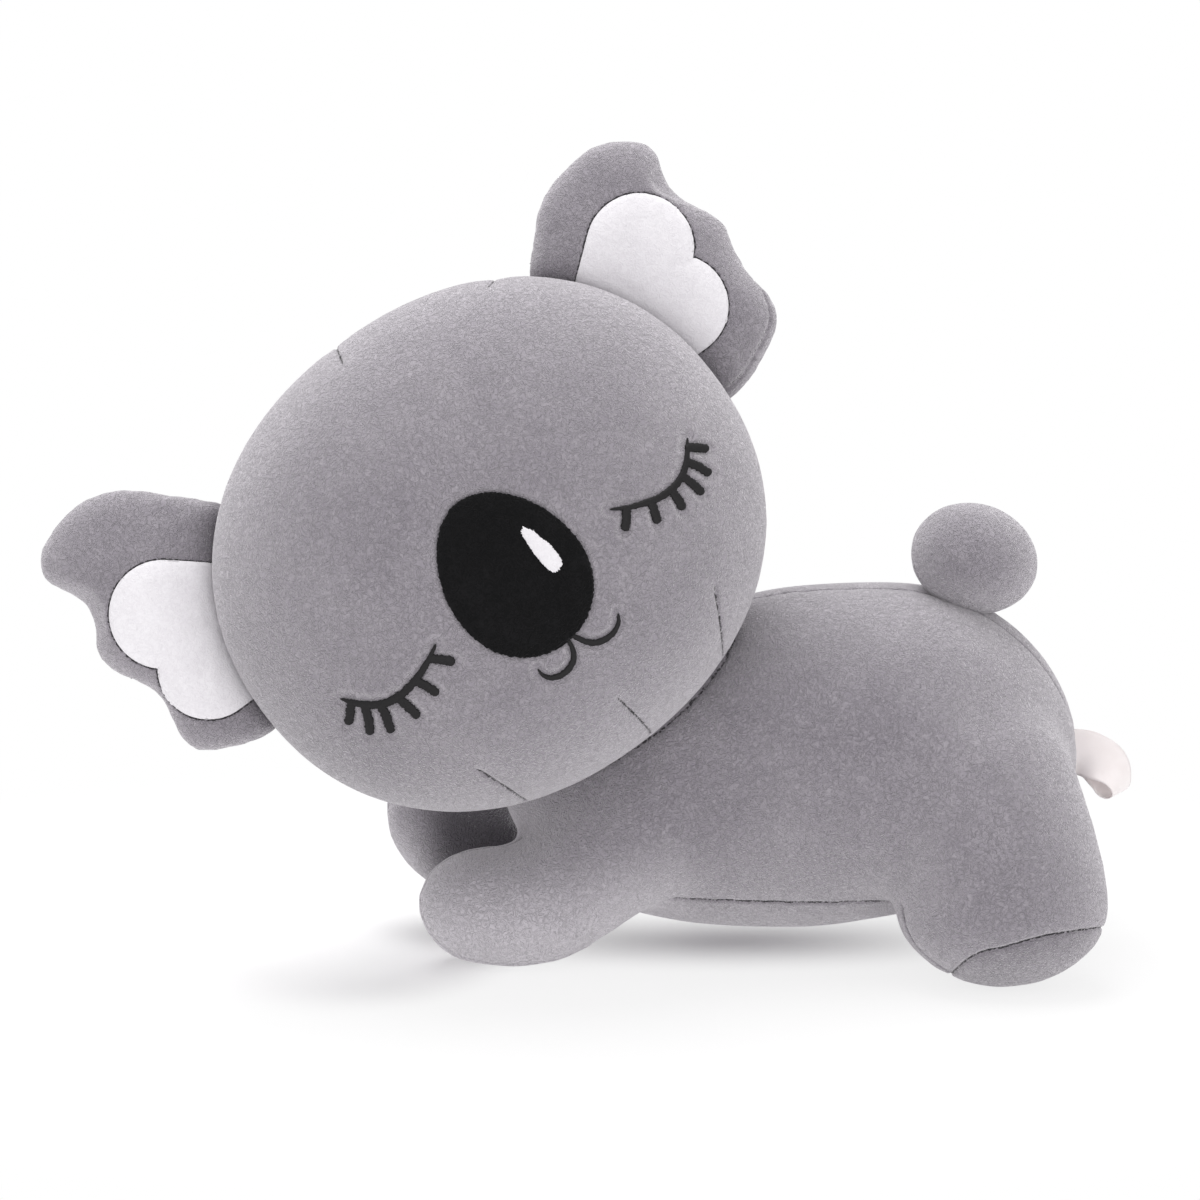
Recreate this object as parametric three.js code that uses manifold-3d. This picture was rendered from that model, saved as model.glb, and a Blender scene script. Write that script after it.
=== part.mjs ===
// A stuffed koala cushion lying on its belly, its head turned so that the face looks out over its left side.
// Millimetres, +X from the head to the tail, +Y to the koala's right, +Z up, floor at Z = 0.
// Left and right are the koala's own. Every stuffed part is a cloth cover of sewn panels over a filling.
import * as THREE from "three";
import { mergeVertices } from "three/addons/utils/BufferGeometryUtils.js";
import Module from "manifold-3d";

const wasm = await Module();
wasm.setup();

// Cloth and clearances
const CLOTH = 2; // short-pile plush
const SEAM_GAP = 0.3; // between two panels, along the seam that joins them
const SEAT_GAP = 0.3; // between a part and the part that carries it
const FILL_GAP = 0.3; // between a cover and its filling
const FOOT_SINK = 0.5; // how deep the floor flattens a paw or foot

// Where the body's own origin lies, so that the whole cushion's middle is over X = 0 and Y = 0
const BODY_PLACE = [-1.9, 13.1];

// Head: a wide pillow, leaning back and rolled towards the koala's left ear
const HEAD_CENTRE = [-46, -44, 202]; // from the spine's line on the floor
const HEAD_HALF_WIDTH = 130;
const HEAD_HALF_HEIGHT = 115.5;
const HEAD_HALF_DEPTH = 78;
const HEAD_OUTLINE_POWER = 2.16; // 2 is an ellipse, more is squarer
const HEAD_PROFILE_POWER = 2.25;
const HEAD_LEAN = 14; // degrees, the crown back
const HEAD_ROLL = 36.3; // degrees, the left ear up
const HEAD_TURN = 2; // degrees, the face towards the tail
const RIM_SEAM_SETBACK = 7; // the rim seam lies behind the widest outline
const RIM_SEAM_SLANT = 5; // degrees, further back at the crown than at the chin

// Ears: a lobed outline, in millimetres outwards from the root and along it towards the crown
const EAR_ANGLE = 19; // degrees above the line from ear to ear
const EAR_HALF_DEPTH = 13;
const EAR_EDGE_HALF = 2.4; // half the thickness along the edge seam
const EAR_SWING = 25; // degrees, forwards and back on its root seam
const EAR_ROOT_TURN = [-23, 25]; // degrees round the head's outline, to each side of EAR_ANGLE
const EAR_CENTRE = [26, 10];
const EAR_EDGE = [
  [0, 66], [19, 73.5], [34, 73.5], [50, 70.5], [63, 62], [70, 49], [66, 36], [59, 25], [58, 12],
  [59, -2], [51, -13], [41, -23], [38, -37], [30, -51], [15, -54.5], [2, -55],
];
const HEART_CROWN_LOBE = [22.3, 17.2, 24.5]; // centre and radius
const HEART_CHIN_LOBE = [10, -12.4, 23];
const HEART_NARROWS = 20; // degrees, each side of the heart, towards its point at the root
const HEART_SHIFT = 4; // the left heart is let in nearer to the crown, the right one nearer to the chin

// Face
const NOSE_CENTRE = [-2.7, -19.9];
const NOSE_HALF = [31.7, 39];
const NOSE_EGG = 0.12; // how much narrower the top is than the bottom
const NOSE_THICK = 1.8;
const GLINT_CENTRE = [14.1, -18.8];
const GLINT_HALF = [4.5, 12.8];
const GLINT_EGG = 0.3;
const THREAD_THICK = 1.2; // a satin stitch stands this proud
const EYE_ARC = [[48, -24], [57, -28.8], [67, -32], [75, -32.8], [83, -31], [90, -26], [96.7, -17.8]];
const EYE_ARC_WIDTH = 3.6;
const LASH_WIDTH = 4.1;
const LASH_LENGTHS = [12, 12, 12.5, 13.5, 13.5, 10.5];
const LASH_PLACES = [0.13, 0.34, 0.53, 0.67, 0.8, 0.91]; // along the arc
const LASH_SPLAY = [-44, -21, -7, 15, 28, 50]; // degrees from straight down, outwards
const MOUTH_MIDDLE = 2;
const MOUTH_ARC = [[0, -56], [0.7, -61], [4.5, -66], [11, -68.5], [17.5, -67.3], [21.8, -61]];
const MOUTH_WIDTH = 2.3;

// Torso: stations from the rump forwards, [x, centre z, half width, half height]
const TORSO = [
  [230, 97, 76, 76], [190, 97, 78, 78], [150, 96, 78, 79], [100, 90.5, 74, 82],
  [50, 83, 63, 74], [0, 82, 50, 61], [-45, 80, 42, 48],
];
const TORSO_POWER = 2.2;
const TORSO_REAR_ROUND = 0.36; // share of the length taken by the rounded end
const TORSO_FRONT_ROUND = 0.22;
const BELLY_SEAM_HEIGHT = 35.5;

// Arms and legs: stations from the root to the tip, [x, distance from the spine, z, half width, half height]
const ARM = [
  [64, 26, 94, 26, 28], [37, 36, 76, 31, 34], [6.5, 38, 50, 31, 30.5],
  [-22, 37, 30, 30, 28], [-53, 36, 26, 28, 26.5], [-79.5, 36, 31, 25, 25],
];
const ARM_ROUND = [0.2, 0.2];
const RIGHT_ARM_REACH = 14; // the right arm lies further forwards than the left
const RIGHT_ARM_LIFT = 42; // and its paw is propped up
const LEG = [
  [184, 26, 124, 30, 34], [185, 44, 96, 38, 41], [187, 60, 62, 38, 49],
  [190, 70, 34, 34, 51], [192, 74, 0, 29, 49],
];
const LEG_ROUND = [0.22, 0.26];
const SOLE_HEIGHT = 27; // of the sole's seam, at the middle of the foot
const SOLE_RISE = 9; // degrees, upwards to the heel

// Tail ball and care label
const TAIL_X = 180;
const TAIL_HALF = [30, 27, 26.5];
const TAIL_SUNK = 6.5; // how far its base is pressed into the back
const TAIL_SWING = 8; // degrees, forwards and back on its base
const LABEL_HEIGHT = 93; // of the middle of the label, on the rump seam
const LABEL_WIDTH = 22;
const LABEL_LENGTH = 27;
const LABEL_TAPE = 0.8;
const LABEL_ROOT = 6; // length sewn flat
const LABEL_LOOP = 7; // diameter of the folded end
const LABEL_BULGE = 6; // how far from its ends each side of the loop starts to spread
const LABEL_TUCK = 2; // how much later the loop opens on its inside
const LABEL_DROOP = 105; // degrees that it hangs down between its seam and its folded end
const LABEL_SWING = 60; // degrees, to each side on its seam

// Facets
const HEAD_FACETS = [32, 12];
const TORSO_FACETS = [24, 12];
const ARM_FACETS = [14, 11];
const LEG_FACETS = [18, 10];
const TAIL_FACETS = [14, 8];
const EAR_FACETS = [38, 6];
const CURVE_STEPS = 10;
const FAR = 1000; // longer than anything here

const radians = THREE.MathUtils.degToRad;
const LEFT = -1; // the sign of Y on the koala's left
const RIGHT = 1;

// Solids

// A closed geometry as a manifold-3d solid.
function solidOf(geometry) {
  const bare = new THREE.BufferGeometry();
  bare.setAttribute("position", geometry.getAttribute("position").clone());
  bare.setIndex(geometry.index);
  const merged = mergeVertices(bare, 1e-4);
  const vertProperties = merged.getAttribute("position").array;
  const triVerts = new Uint32Array(merged.index.array);
  return new wasm.Manifold(new wasm.Mesh({ numProp: 3, vertProperties, triVerts }));
}

// The largest single body of a manifold-3d solid, as a geometry.
function geometryOf(solid) {
  const bodies = solid.decompose().sort((a, b) => b.volume() - a.volume());
  const { numProp, vertProperties, triVerts } = bodies[0].getMesh();
  const corners = new Float32Array((vertProperties.length / numProp) * 3);
  for (let i = 0; i * numProp < vertProperties.length; i++) {
    corners.set(vertProperties.subarray(i * numProp, i * numProp + 3), i * 3);
  }
  const geometry = new THREE.BufferGeometry();
  geometry.setAttribute("position", new THREE.BufferAttribute(corners, 3));
  geometry.setIndex(new THREE.BufferAttribute(triVerts, 1));
  return geometry;
}

// A closed stuffed form, shaped from a sphere. place(turn, share, target) puts each point: turn goes
// once round the form from 0 to 1, and share goes from one pole to the other.
function stuffedForm([sides, rings], place) {
  const sphere = new THREE.SphereGeometry(1, sides, rings);
  const position = sphere.getAttribute("position");
  const uv = sphere.getAttribute("uv");
  const target = new THREE.Vector3();
  for (let i = 0; i < position.count; i++) {
    place(THREE.MathUtils.clamp(uv.getX(i), 0, 1), 1 - uv.getY(i), target);
    position.setXYZ(i, target.x, target.y, target.z);
  }
  sphere.deleteAttribute("uv");
  sphere.deleteAttribute("normal");
  const form = mergeVertices(sphere, 1e-3);
  form.computeVertexNormals();
  return form;
}

// The solid inside a form's surface once that is moved inwards by a distance, or outwards if negative.
function offset(form, distance) {
  const moved = form.clone();
  const position = moved.getAttribute("position");
  const normal = moved.getAttribute("normal");
  for (let i = 0; i < position.count; i++) {
    position.setXYZ(
      i,
      position.getX(i) - normal.getX(i) * distance,
      position.getY(i) - normal.getY(i) * distance,
      position.getZ(i) - normal.getZ(i) * distance,
    );
  }
  return solidOf(moved);
}

// The cloth over a form, as one closed skin that its seams then cut into panels.
function coverOf(form) {
  return offset(form, 0).subtract(offset(form, CLOTH));
}

function fillingOf(form) {
  return offset(form, CLOTH + FILL_GAP);
}

// All the space that a solid takes up while it turns each way about an axis through a point.
function swungSpace(solid, point, axis, swing) {
  const [x, y, z] = point;
  const turned = (angle) =>
    solid.translate([-x, -y, -z]).rotate(axis.map((share) => share * angle)).translate([x, y, z]);
  return solid.add(turned(-swing)).add(turned(-swing / 2)).add(turned(swing / 2)).add(turned(swing));
}

// The two sides of a skin along a seam: the side that the plane's normal points to, then the other.
function sewnSides(skin, normal, distance) {
  const away = normal.clone().negate();
  return [
    skin.trimByPlane(normal.toArray(), distance + SEAM_GAP / 2),
    skin.trimByPlane(away.toArray(), -distance + SEAM_GAP / 2),
  ];
}

// Rises from 0 at an end of a form to 1 where its rounded end stops.
function roundedEnd(along, share) {
  return along >= share ? 1 : Math.sqrt(1 - (1 - along / share) ** 2);
}

// A point on a superellipse of the given half sizes, at an angle from its first axis.
function superellipse(angle, halfA, halfB, power) {
  const c = Math.cos(angle);
  const s = Math.sin(angle);
  const reach = (Math.abs(c / halfA) ** power + Math.abs(s / halfB) ** power) ** (-1 / power);
  return [reach * c, reach * s];
}

// A limb or torso along a smooth curve through its stations, [x, y, z, half width, half height].
function sweptForm(facets, stations, power, [startRound, endRound]) {
  const path = new THREE.CatmullRomCurve3(stations.map(([x, y, z]) => new THREE.Vector3(x, y, z)));
  const sizes = new THREE.CatmullRomCurve3(stations.map(([, , , w, h]) => new THREE.Vector3(w, h, 0)));
  const sideways = new THREE.Vector3(0, 1, 0);
  return stuffedForm(facets, (turn, share, target) => {
    const along = (1 - Math.cos(Math.PI * share)) / 2;
    const centre = path.getPoint(along);
    const forwards = path.getTangent(along);
    const across = sideways.clone().addScaledVector(forwards, -forwards.y).normalize();
    const upwards = new THREE.Vector3().crossVectors(across, forwards);
    const size = sizes.getPoint(along);
    const full = roundedEnd(along, startRound) * roundedEnd(1 - along, endRound);
    const [w, h] = superellipse(2 * Math.PI * turn, size.x, size.y, power);
    target.copy(centre).addScaledVector(across, w * full).addScaledVector(upwards, h * full);
  });
}

// A flat outline pushed through the face as a tool for cutting: its Y becomes Z, and it runs to -Y.
function throughFace(shape) {
  const prism = new THREE.ExtrudeGeometry(shape, { depth: FAR, bevelEnabled: false, curveSegments: CURVE_STEPS });
  return solidOf(prism.rotateX(Math.PI / 2));
}

// Head

function headOutline(angle) {
  return superellipse(angle, HEAD_HALF_WIDTH, HEAD_HALF_HEIGHT, HEAD_OUTLINE_POWER);
}

// How much of the outline's size is left at a distance in front of or behind the widest plane.
function headShare(depth) {
  const flat = Math.min(1, Math.abs(depth) / HEAD_HALF_DEPTH) ** HEAD_PROFILE_POWER;
  return (1 - flat) ** (1 / HEAD_PROFILE_POWER);
}

// The head in its own frame: +X to its left ear, +Z to the crown, and the face towards -Y.
function headForm() {
  return stuffedForm(HEAD_FACETS, (turn, share, target) => {
    const latitude = Math.PI * share;
    const wide = Math.max(0, Math.sin(latitude)) ** (2 / HEAD_PROFILE_POWER);
    const deep = Math.abs(Math.cos(latitude)) ** (2 / HEAD_PROFILE_POWER);
    const [x, z] = headOutline(2 * Math.PI * turn);
    target.set(x * wide, -Math.sign(Math.cos(latitude)) * deep * HEAD_HALF_DEPTH, z * wide);
  });
}

// Something flat sewn onto the face: the layer between two heights over the cloth, inside an outline.
function onFace(form, outline, lift, thickness) {
  return offset(form, -lift - thickness).subtract(offset(form, -lift)).intersect(outline);
}

function eggShape([x, y], [halfWidth, halfHeight], egg) {
  const points = [];
  for (let i = 0; i < 2 * CURVE_STEPS; i++) {
    const angle = (Math.PI * i) / CURVE_STEPS;
    const up = Math.sin(angle);
    points.push(new THREE.Vector2(x + halfWidth * Math.cos(angle) * (1 - egg * up), y + halfHeight * up));
  }
  return new THREE.Shape(points);
}

// A line of satin stitch along a curve, narrowing to its two ends.
function stitchedLine(points, width, endShare) {
  const curve = new THREE.SplineCurve(points.map(([x, y]) => new THREE.Vector2(x, y)));
  const left = [];
  const right = [];
  for (let i = 0; i <= CURVE_STEPS; i++) {
    const along = i / CURVE_STEPS;
    const full = endShare + (1 - endShare) * Math.sin(Math.PI * along) ** 0.5;
    const point = curve.getPoint(along);
    const tangent = curve.getTangent(along);
    const square = new THREE.Vector2(-tangent.y, tangent.x).multiplyScalar((width * full) / 2);
    left.push(point.clone().add(square));
    right.unshift(point.clone().sub(square));
  }
  return new THREE.Shape([...right, ...left].reverse());
}

// One eyelash: a bar with a round tip, splayed outwards from straight down.
function lashShape(root, length, splay) {
  const bar = new THREE.Shape();
  bar.moveTo(LASH_WIDTH / 2, 0);
  bar.lineTo(-LASH_WIDTH / 2, 0);
  bar.lineTo(-LASH_WIDTH / 2, -length + LASH_WIDTH / 2);
  bar.absarc(0, -length + LASH_WIDTH / 2, LASH_WIDTH / 2, Math.PI, 2 * Math.PI, false);
  const points = bar.getPoints(CURVE_STEPS / 2);
  const centre = new THREE.Vector2();
  points.forEach((point) => point.rotateAround(centre, radians(splay)).add(root));
  return new THREE.Shape(points);
}

// A closed eye, on the side given by the sign of X.
function eyeOutline(side) {
  const mirrored = ([x, y]) => [side * x, y];
  const arc = new THREE.SplineCurve(EYE_ARC.map(([x, y]) => new THREE.Vector2(side * x, y)));
  let outline = throughFace(stitchedLine(EYE_ARC.map(mirrored), EYE_ARC_WIDTH, 0.35));
  LASH_PLACES.forEach((place, i) => {
    const lash = lashShape(arc.getPointAt(place), LASH_LENGTHS[i], side * LASH_SPLAY[i]);
    outline = outline.add(throughFace(lash));
  });
  return outline;
}

function mouthOutline() {
  const leftArc = MOUTH_ARC.map(([x, y]) => [MOUTH_MIDDLE + x, y]);
  const rightArc = MOUTH_ARC.map(([x, y]) => [MOUTH_MIDDLE - x, y]);
  return throughFace(stitchedLine(leftArc, MOUTH_WIDTH, 0.6)).add(
    throughFace(stitchedLine(rightArc, MOUTH_WIDTH, 0.6)),
  );
}

// Ears

const EAR_RADIANS = radians(EAR_ANGLE);

// A point on the head's outline where the ears are sewn in, at an angle from the line between the ears.
function earSeat(angle) {
  const [x, z] = headOutline(angle);
  const share = headShare(earSetback());
  return new THREE.Vector2(x * share, z * share);
}

// How far behind the head's widest plane the middle of the ear's root lies.
function earSetback() {
  const [, z] = headOutline(EAR_RADIANS);
  return RIM_SEAM_SETBACK + z * Math.tan(radians(RIM_SEAM_SLANT));
}

// The ear's closed outline in its own frame, counter-clockwise: the root against the head, then the lobes.
function earOutline() {
  const seat = earSeat(EAR_RADIANS);
  const root = [];
  const [from, to] = EAR_ROOT_TURN;
  for (let i = 0; i <= 6; i++) {
    const angle = EAR_RADIANS + radians(from + ((to - from) * i) / 6);
    const point = earSeat(angle).sub(seat).rotateAround(new THREE.Vector2(), -EAR_RADIANS);
    root.push(point);
  }
  const lobes = EAR_EDGE.map(([x, y]) => new THREE.Vector2(x, y));
  return new THREE.SplineCurve([...lobes, ...root, lobes[0].clone()]);
}

// The ear in its own frame: +X outwards, +Z along the root to the crown, and its front towards -Y.
function earForm() {
  const outline = earOutline();
  const [centreX, centreZ] = EAR_CENTRE;
  return stuffedForm(EAR_FACETS, (turn, share, target) => {
    const latitude = Math.PI * share;
    const edge = outline.getPoint(1 - turn);
    const wide = Math.max(0, Math.sin(latitude));
    const swell = (1 - wide ** 2) ** 0.8;
    const depth = swell === 0 ? 0 : EAR_EDGE_HALF + (EAR_HALF_DEPTH - EAR_EDGE_HALF) * swell;
    target.set(
      centreX + (edge.x - centreX) * wide,
      -Math.sign(Math.cos(latitude)) * depth,
      centreZ + (edge.y - centreZ) * wide,
    );
  });
}

// The white lining's heart, which the root seam cuts across: a lobe towards the crown, another towards
// the chin, and two sides that narrow to its hidden point. It is shifted towards the crown by a distance.
function heartShape(grow, shift) {
  const [crownX, crownHeight, crownRadius] = HEART_CROWN_LOBE;
  const [chinX, chinHeight, chinRadius] = HEART_CHIN_LOBE;
  const crownY = crownHeight + shift;
  const chinY = chinHeight + shift;
  const crown = crownRadius + grow;
  const chin = chinRadius + grow;
  const span = Math.hypot(crownX - chinX, crownY - chinY);
  const slope = Math.atan2(crownY - chinY, crownX - chinX);
  const notchTurn = Math.acos((span ** 2 + chin ** 2 - crown ** 2) / (2 * span * chin));
  const notchAngle = slope - notchTurn;
  const notchX = chinX + chin * Math.cos(notchAngle);
  const notchY = chinY + chin * Math.sin(notchAngle);
  const fromCrown = Math.atan2(notchY - crownY, notchX - crownX);
  const narrows = radians(HEART_NARROWS);
  const sideLength = FAR / 10;
  const shape = new THREE.Shape();
  shape.absarc(chinX, chinY, chin, -Math.PI / 2 - narrows, notchAngle, false);
  shape.absarc(crownX, crownY, crown, fromCrown, Math.PI / 2 + narrows, false);
  const crownSide = [
    crownX - crown * Math.sin(narrows) - sideLength * Math.cos(narrows),
    crownY + crown * Math.cos(narrows) - sideLength * Math.sin(narrows),
  ];
  const chinSide = [
    chinX - chin * Math.sin(narrows) - sideLength * Math.cos(narrows),
    chinY - chin * Math.cos(narrows) + sideLength * Math.sin(narrows),
  ];
  shape.lineTo(...crownSide);
  shape.lineTo(...chinSide);
  return shape;
}

// Torso, limbs, tail and label

function torsoForm() {
  const stations = TORSO.map(([x, z, w, h]) => [x, 0, z, w, h]);
  return sweptForm(TORSO_FACETS, stations, TORSO_POWER, [TORSO_REAR_ROUND, TORSO_FRONT_ROUND]);
}

function armForm(side, reach, lift) {
  const stations = ARM.map(([x, y, z, w, h], i) => {
    const out = i / (ARM.length - 1);
    return [x - reach * out, side * y, z + lift * out ** 4, w, h];
  });
  return sweptForm(ARM_FACETS, stations, 2, ARM_ROUND);
}

function legForm(side) {
  const stations = LEG.map(([x, y, z, w, h]) => [x, side * y, z, w, h]);
  return sweptForm(LEG_FACETS, stations, 2.1, LEG_ROUND);
}

// A limb's lowest point goes FOOT_SINK below the floor, and the floor then cuts it flat.
function stoodOnFloor(form) {
  form.computeBoundingBox();
  form.translate(0, 0, -form.boundingBox.min.z - FOOT_SINK);
  return form;
}

function aboveFloor(solid) {
  return solid.trimByPlane([0, 0, 1], 0);
}

// The height of a form's top over a place on the spine, or how far back it reaches at a height.
function surfaceAlong(form, from, direction) {
  const mesh = new THREE.Mesh(form, new THREE.MeshBasicMaterial({ side: THREE.DoubleSide }));
  const ray = new THREE.Raycaster(from, direction);
  return ray.intersectObject(mesh)[0].point;
}

// Where the tail's base sits on the back, and the label's seam on the rump.
function tailSeat() {
  return surfaceAlong(torso, new THREE.Vector3(TAIL_X, 0, FAR), new THREE.Vector3(0, 0, -1));
}

function labelSeat() {
  return surfaceAlong(torso, new THREE.Vector3(FAR, 0, LABEL_HEIGHT), new THREE.Vector3(-1, 0, 0));
}

function tailForm() {
  const top = tailSeat();
  const [halfX, halfY, halfZ] = TAIL_HALF;
  return stuffedForm(TAIL_FACETS, (turn, share, target) => {
    const latitude = Math.PI * share;
    const angle = 2 * Math.PI * turn;
    target.set(
      TAIL_X + halfX * Math.sin(latitude) * Math.cos(angle),
      halfY * Math.sin(latitude) * Math.sin(angle),
      top.z + halfZ - TAIL_SUNK + halfZ * Math.cos(latitude),
    );
  });
}

// The label's tape seen along its width: sewn flat at the root, then an open loop.
function labelShape() {
  const neck = LABEL_TAPE;
  const end = LABEL_LENGTH - LABEL_LOOP / 2;
  const loop = (radius, start) => {
    const path = new THREE.Path();
    path.moveTo(start, -neck);
    path.bezierCurveTo(start + LABEL_BULGE, -neck, end - LABEL_BULGE, -radius, end, -radius);
    path.absarc(end, 0, radius, -Math.PI / 2, Math.PI / 2, false);
    path.bezierCurveTo(end - LABEL_BULGE, radius, start + LABEL_BULGE, neck, start, neck);
    return path.getPoints(CURVE_STEPS / 2);
  };
  const outer = loop(LABEL_LOOP / 2, LABEL_ROOT);
  const shape = new THREE.Shape([
    new THREE.Vector2(-LABEL_ROOT, -neck),
    ...outer,
    new THREE.Vector2(-LABEL_ROOT, neck),
  ]);
  const inner = loop(LABEL_LOOP / 2 - LABEL_TAPE, LABEL_ROOT + LABEL_TUCK).map(
    (point) => new THREE.Vector2(point.x, point.y * 0.85),
  );
  shape.holes.push(new THREE.Path(inner));
  return shape;
}

// Where a point of the straight label goes once the label hangs in an arc from its seam.
function drooped(along, across) {
  const radius = LABEL_LENGTH / radians(LABEL_DROOP);
  const outside = Math.max(0, along);
  const angle = outside / radius;
  const x = radius * Math.sin(angle) + Math.min(0, along);
  const z = radius * (Math.cos(angle) - 1);
  return [x + across * Math.sin(angle), z + across * Math.cos(angle)];
}

// Materials

const grey = new THREE.MeshStandardMaterial({ color: 0x8f8a91, roughness: 0.95, metalness: 0 });
const white = new THREE.MeshStandardMaterial({ color: 0xefeef0, roughness: 0.9, metalness: 0 });
const black = new THREE.MeshStandardMaterial({ color: 0x1a1a1a, roughness: 0.9, metalness: 0 });
const thread = new THREE.MeshStandardMaterial({ color: 0x2c2b2c, roughness: 0.5, metalness: 0 });
const satin = new THREE.MeshStandardMaterial({ color: 0xf3eeee, roughness: 0.4, metalness: 0 });
const fibre = new THREE.MeshStandardMaterial({ color: 0xf5f5f2, roughness: 1, metalness: 0 });

function piece(name, solid, material) {
  const mesh = new THREE.Mesh(geometryOf(solid), material);
  mesh.name = name;
  return mesh;
}

// Assembly

const head = headForm();
const torso = torsoForm();
const headGroup = new THREE.Group();
headGroup.position.set(...HEAD_CENTRE);
headGroup.rotation.set(radians(-HEAD_LEAN), radians(-HEAD_ROLL), radians(HEAD_TURN));
headGroup.updateMatrix();

// The space that the head and torso take up, which everything sewn to them leaves free.
const headRoom = offset(head.clone().applyMatrix4(headGroup.matrix), -SEAT_GAP);
const torsoRoom = offset(torso, -SEAT_GAP);

function addHead() {
  const slant = radians(RIM_SEAM_SLANT);
  const toFace = new THREE.Vector3(0, -Math.cos(slant), Math.sin(slant));
  const [face, back] = sewnSides(coverOf(head), toFace, -RIM_SEAM_SETBACK * Math.cos(slant));
  const nose = throughFace(eggShape(NOSE_CENTRE, NOSE_HALF, NOSE_EGG));
  const noseHalf = NOSE_HALF.map((half) => half + SEAM_GAP);
  const aroundNose = throughFace(eggShape(NOSE_CENTRE, noseHalf, NOSE_EGG));
  const glint = throughFace(eggShape(GLINT_CENTRE, GLINT_HALF, GLINT_EGG));
  const threadOn = (outline) => onFace(head, outline, SEAT_GAP, THREAD_THICK);
  headGroup.add(
    piece("head_face_panel", face, grey),
    piece("head_back_panel", back, grey),
    piece("head_filling", fillingOf(head), fibre),
    piece("nose_patch", onFace(head, nose, SEAT_GAP, NOSE_THICK), black),
    piece("nose_glint", onFace(head, glint, 2 * SEAT_GAP + NOSE_THICK, THREAD_THICK), white),
    piece("left_eye_stitching", threadOn(eyeOutline(1)), thread),
    piece("right_eye_stitching", threadOn(eyeOutline(-1)), thread),
    piece("mouth_stitching", threadOn(mouthOutline().subtract(aroundNose)), thread),
  );
}

function addEar(side, name) {
  const seat = earSeat(EAR_RADIANS);
  const ear = new THREE.Group();
  ear.position.set(seat.x, earSetback(), seat.y);
  ear.rotation.y = -EAR_RADIANS;
  ear.updateMatrix();
  const headSeenFromEar = offset(head.clone().applyMatrix4(ear.matrix.clone().invert()), -SEAT_GAP);
  const room = swungSpace(headSeenFromEar, [0, 0, 0], [0, 0, 1], EAR_SWING);
  const form = earForm();
  const toFront = new THREE.Vector3(0, -1, 0);
  const [front, back] = sewnSides(coverOf(form).subtract(room), toFront, 0);
  const heart = (grow) => throughFace(heartShape(grow, side * HEART_SHIFT));
  ear.add(
    piece(`${name}_ear_front_panel`, front.subtract(heart(SEAM_GAP)), grey),
    piece(`${name}_ear_heart_lining`, front.intersect(heart(0)), white),
    piece(`${name}_ear_back_panel`, back, grey),
    piece(`${name}_ear_filling`, fillingOf(form).subtract(room), fibre),
  );
  const mirrored = new THREE.Group();
  mirrored.scale.x = side;
  mirrored.add(ear);
  headGroup.add(mirrored);
}

function addTorso(body) {
  const cut = (solid) => solid.subtract(headRoom);
  const spine = new THREE.Vector3(0, 1, 0);
  const up = new THREE.Vector3(0, 0, 1);
  const [upper, belly] = sewnSides(cut(coverOf(torso)), up, BELLY_SEAM_HEIGHT);
  const [right, left] = sewnSides(upper, spine, 0);
  body.add(
    piece("left_side_panel", left, grey),
    piece("right_side_panel", right, grey),
    piece("belly_panel", aboveFloor(belly), grey),
    piece("body_filling", cut(fillingOf(torso)), fibre),
  );
}

// An arm is two panels, sewn together along the arm in an upright plane.
function addArm(body, side, name, reach, lift) {
  const form = stoodOnFloor(armForm(side, reach, lift));
  const cut = (solid) => aboveFloor(solid).subtract(torsoRoom).subtract(headRoom);
  const outwards = new THREE.Vector3(0, side, 0);
  const [outer, inner] = sewnSides(cut(coverOf(form)), outwards, ARM[3][1]);
  body.add(
    piece(`${name}_arm_outer_panel`, outer, grey),
    piece(`${name}_arm_inner_panel`, inner, grey),
    piece(`${name}_arm_filling`, cut(fillingOf(form)), fibre),
  );
}

// A leg is two panels like an arm's, closed below by a sole that rises to the heel.
function addLeg(body, side, name) {
  const form = stoodOnFloor(legForm(side));
  const cut = (solid) => aboveFloor(solid).subtract(torsoRoom);
  const outwards = new THREE.Vector3(0, side, 0);
  const rise = radians(SOLE_RISE);
  const overSole = new THREE.Vector3(-Math.sin(rise), 0, Math.cos(rise));
  const footX = LEG[3][0];
  const soleAt = overSole.x * footX + overSole.z * SOLE_HEIGHT;
  const [upper, sole] = sewnSides(cut(coverOf(form)), overSole, soleAt);
  const [outer, inner] = sewnSides(upper, outwards, LEG[3][1]);
  body.add(
    piece(`${name}_leg_outer_panel`, outer, grey),
    piece(`${name}_leg_inner_panel`, inner, grey),
    piece(`${name}_foot_sole`, sole, grey),
    piece(`${name}_leg_filling`, cut(fillingOf(form)), fibre),
  );
}

function addTail(body) {
  const form = tailForm();
  const room = swungSpace(torsoRoom, tailSeat().toArray(), [0, 1, 0], TAIL_SWING);
  body.add(
    piece("tail_cover", coverOf(form).subtract(room), grey),
    piece("tail_filling", fillingOf(form).subtract(room), fibre),
  );
}

function addLabel(body) {
  const rump = labelSeat();
  const room = swungSpace(torsoRoom, rump.toArray(), [0, 0, 1], LABEL_SWING);
  const tape = new THREE.ExtrudeGeometry(labelShape(), {
    depth: LABEL_WIDTH,
    steps: 1,
    bevelEnabled: false,
  });
  tape.translate(0, 0, -LABEL_WIDTH / 2);
  const position = tape.getAttribute("position");
  for (let i = 0; i < position.count; i++) {
    const [x, z] = drooped(position.getX(i), position.getZ(i));
    position.setXYZ(i, rump.x + x, position.getY(i), rump.z + z);
  }
  body.add(piece("care_label", solidOf(tape).subtract(room), satin));
}

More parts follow.
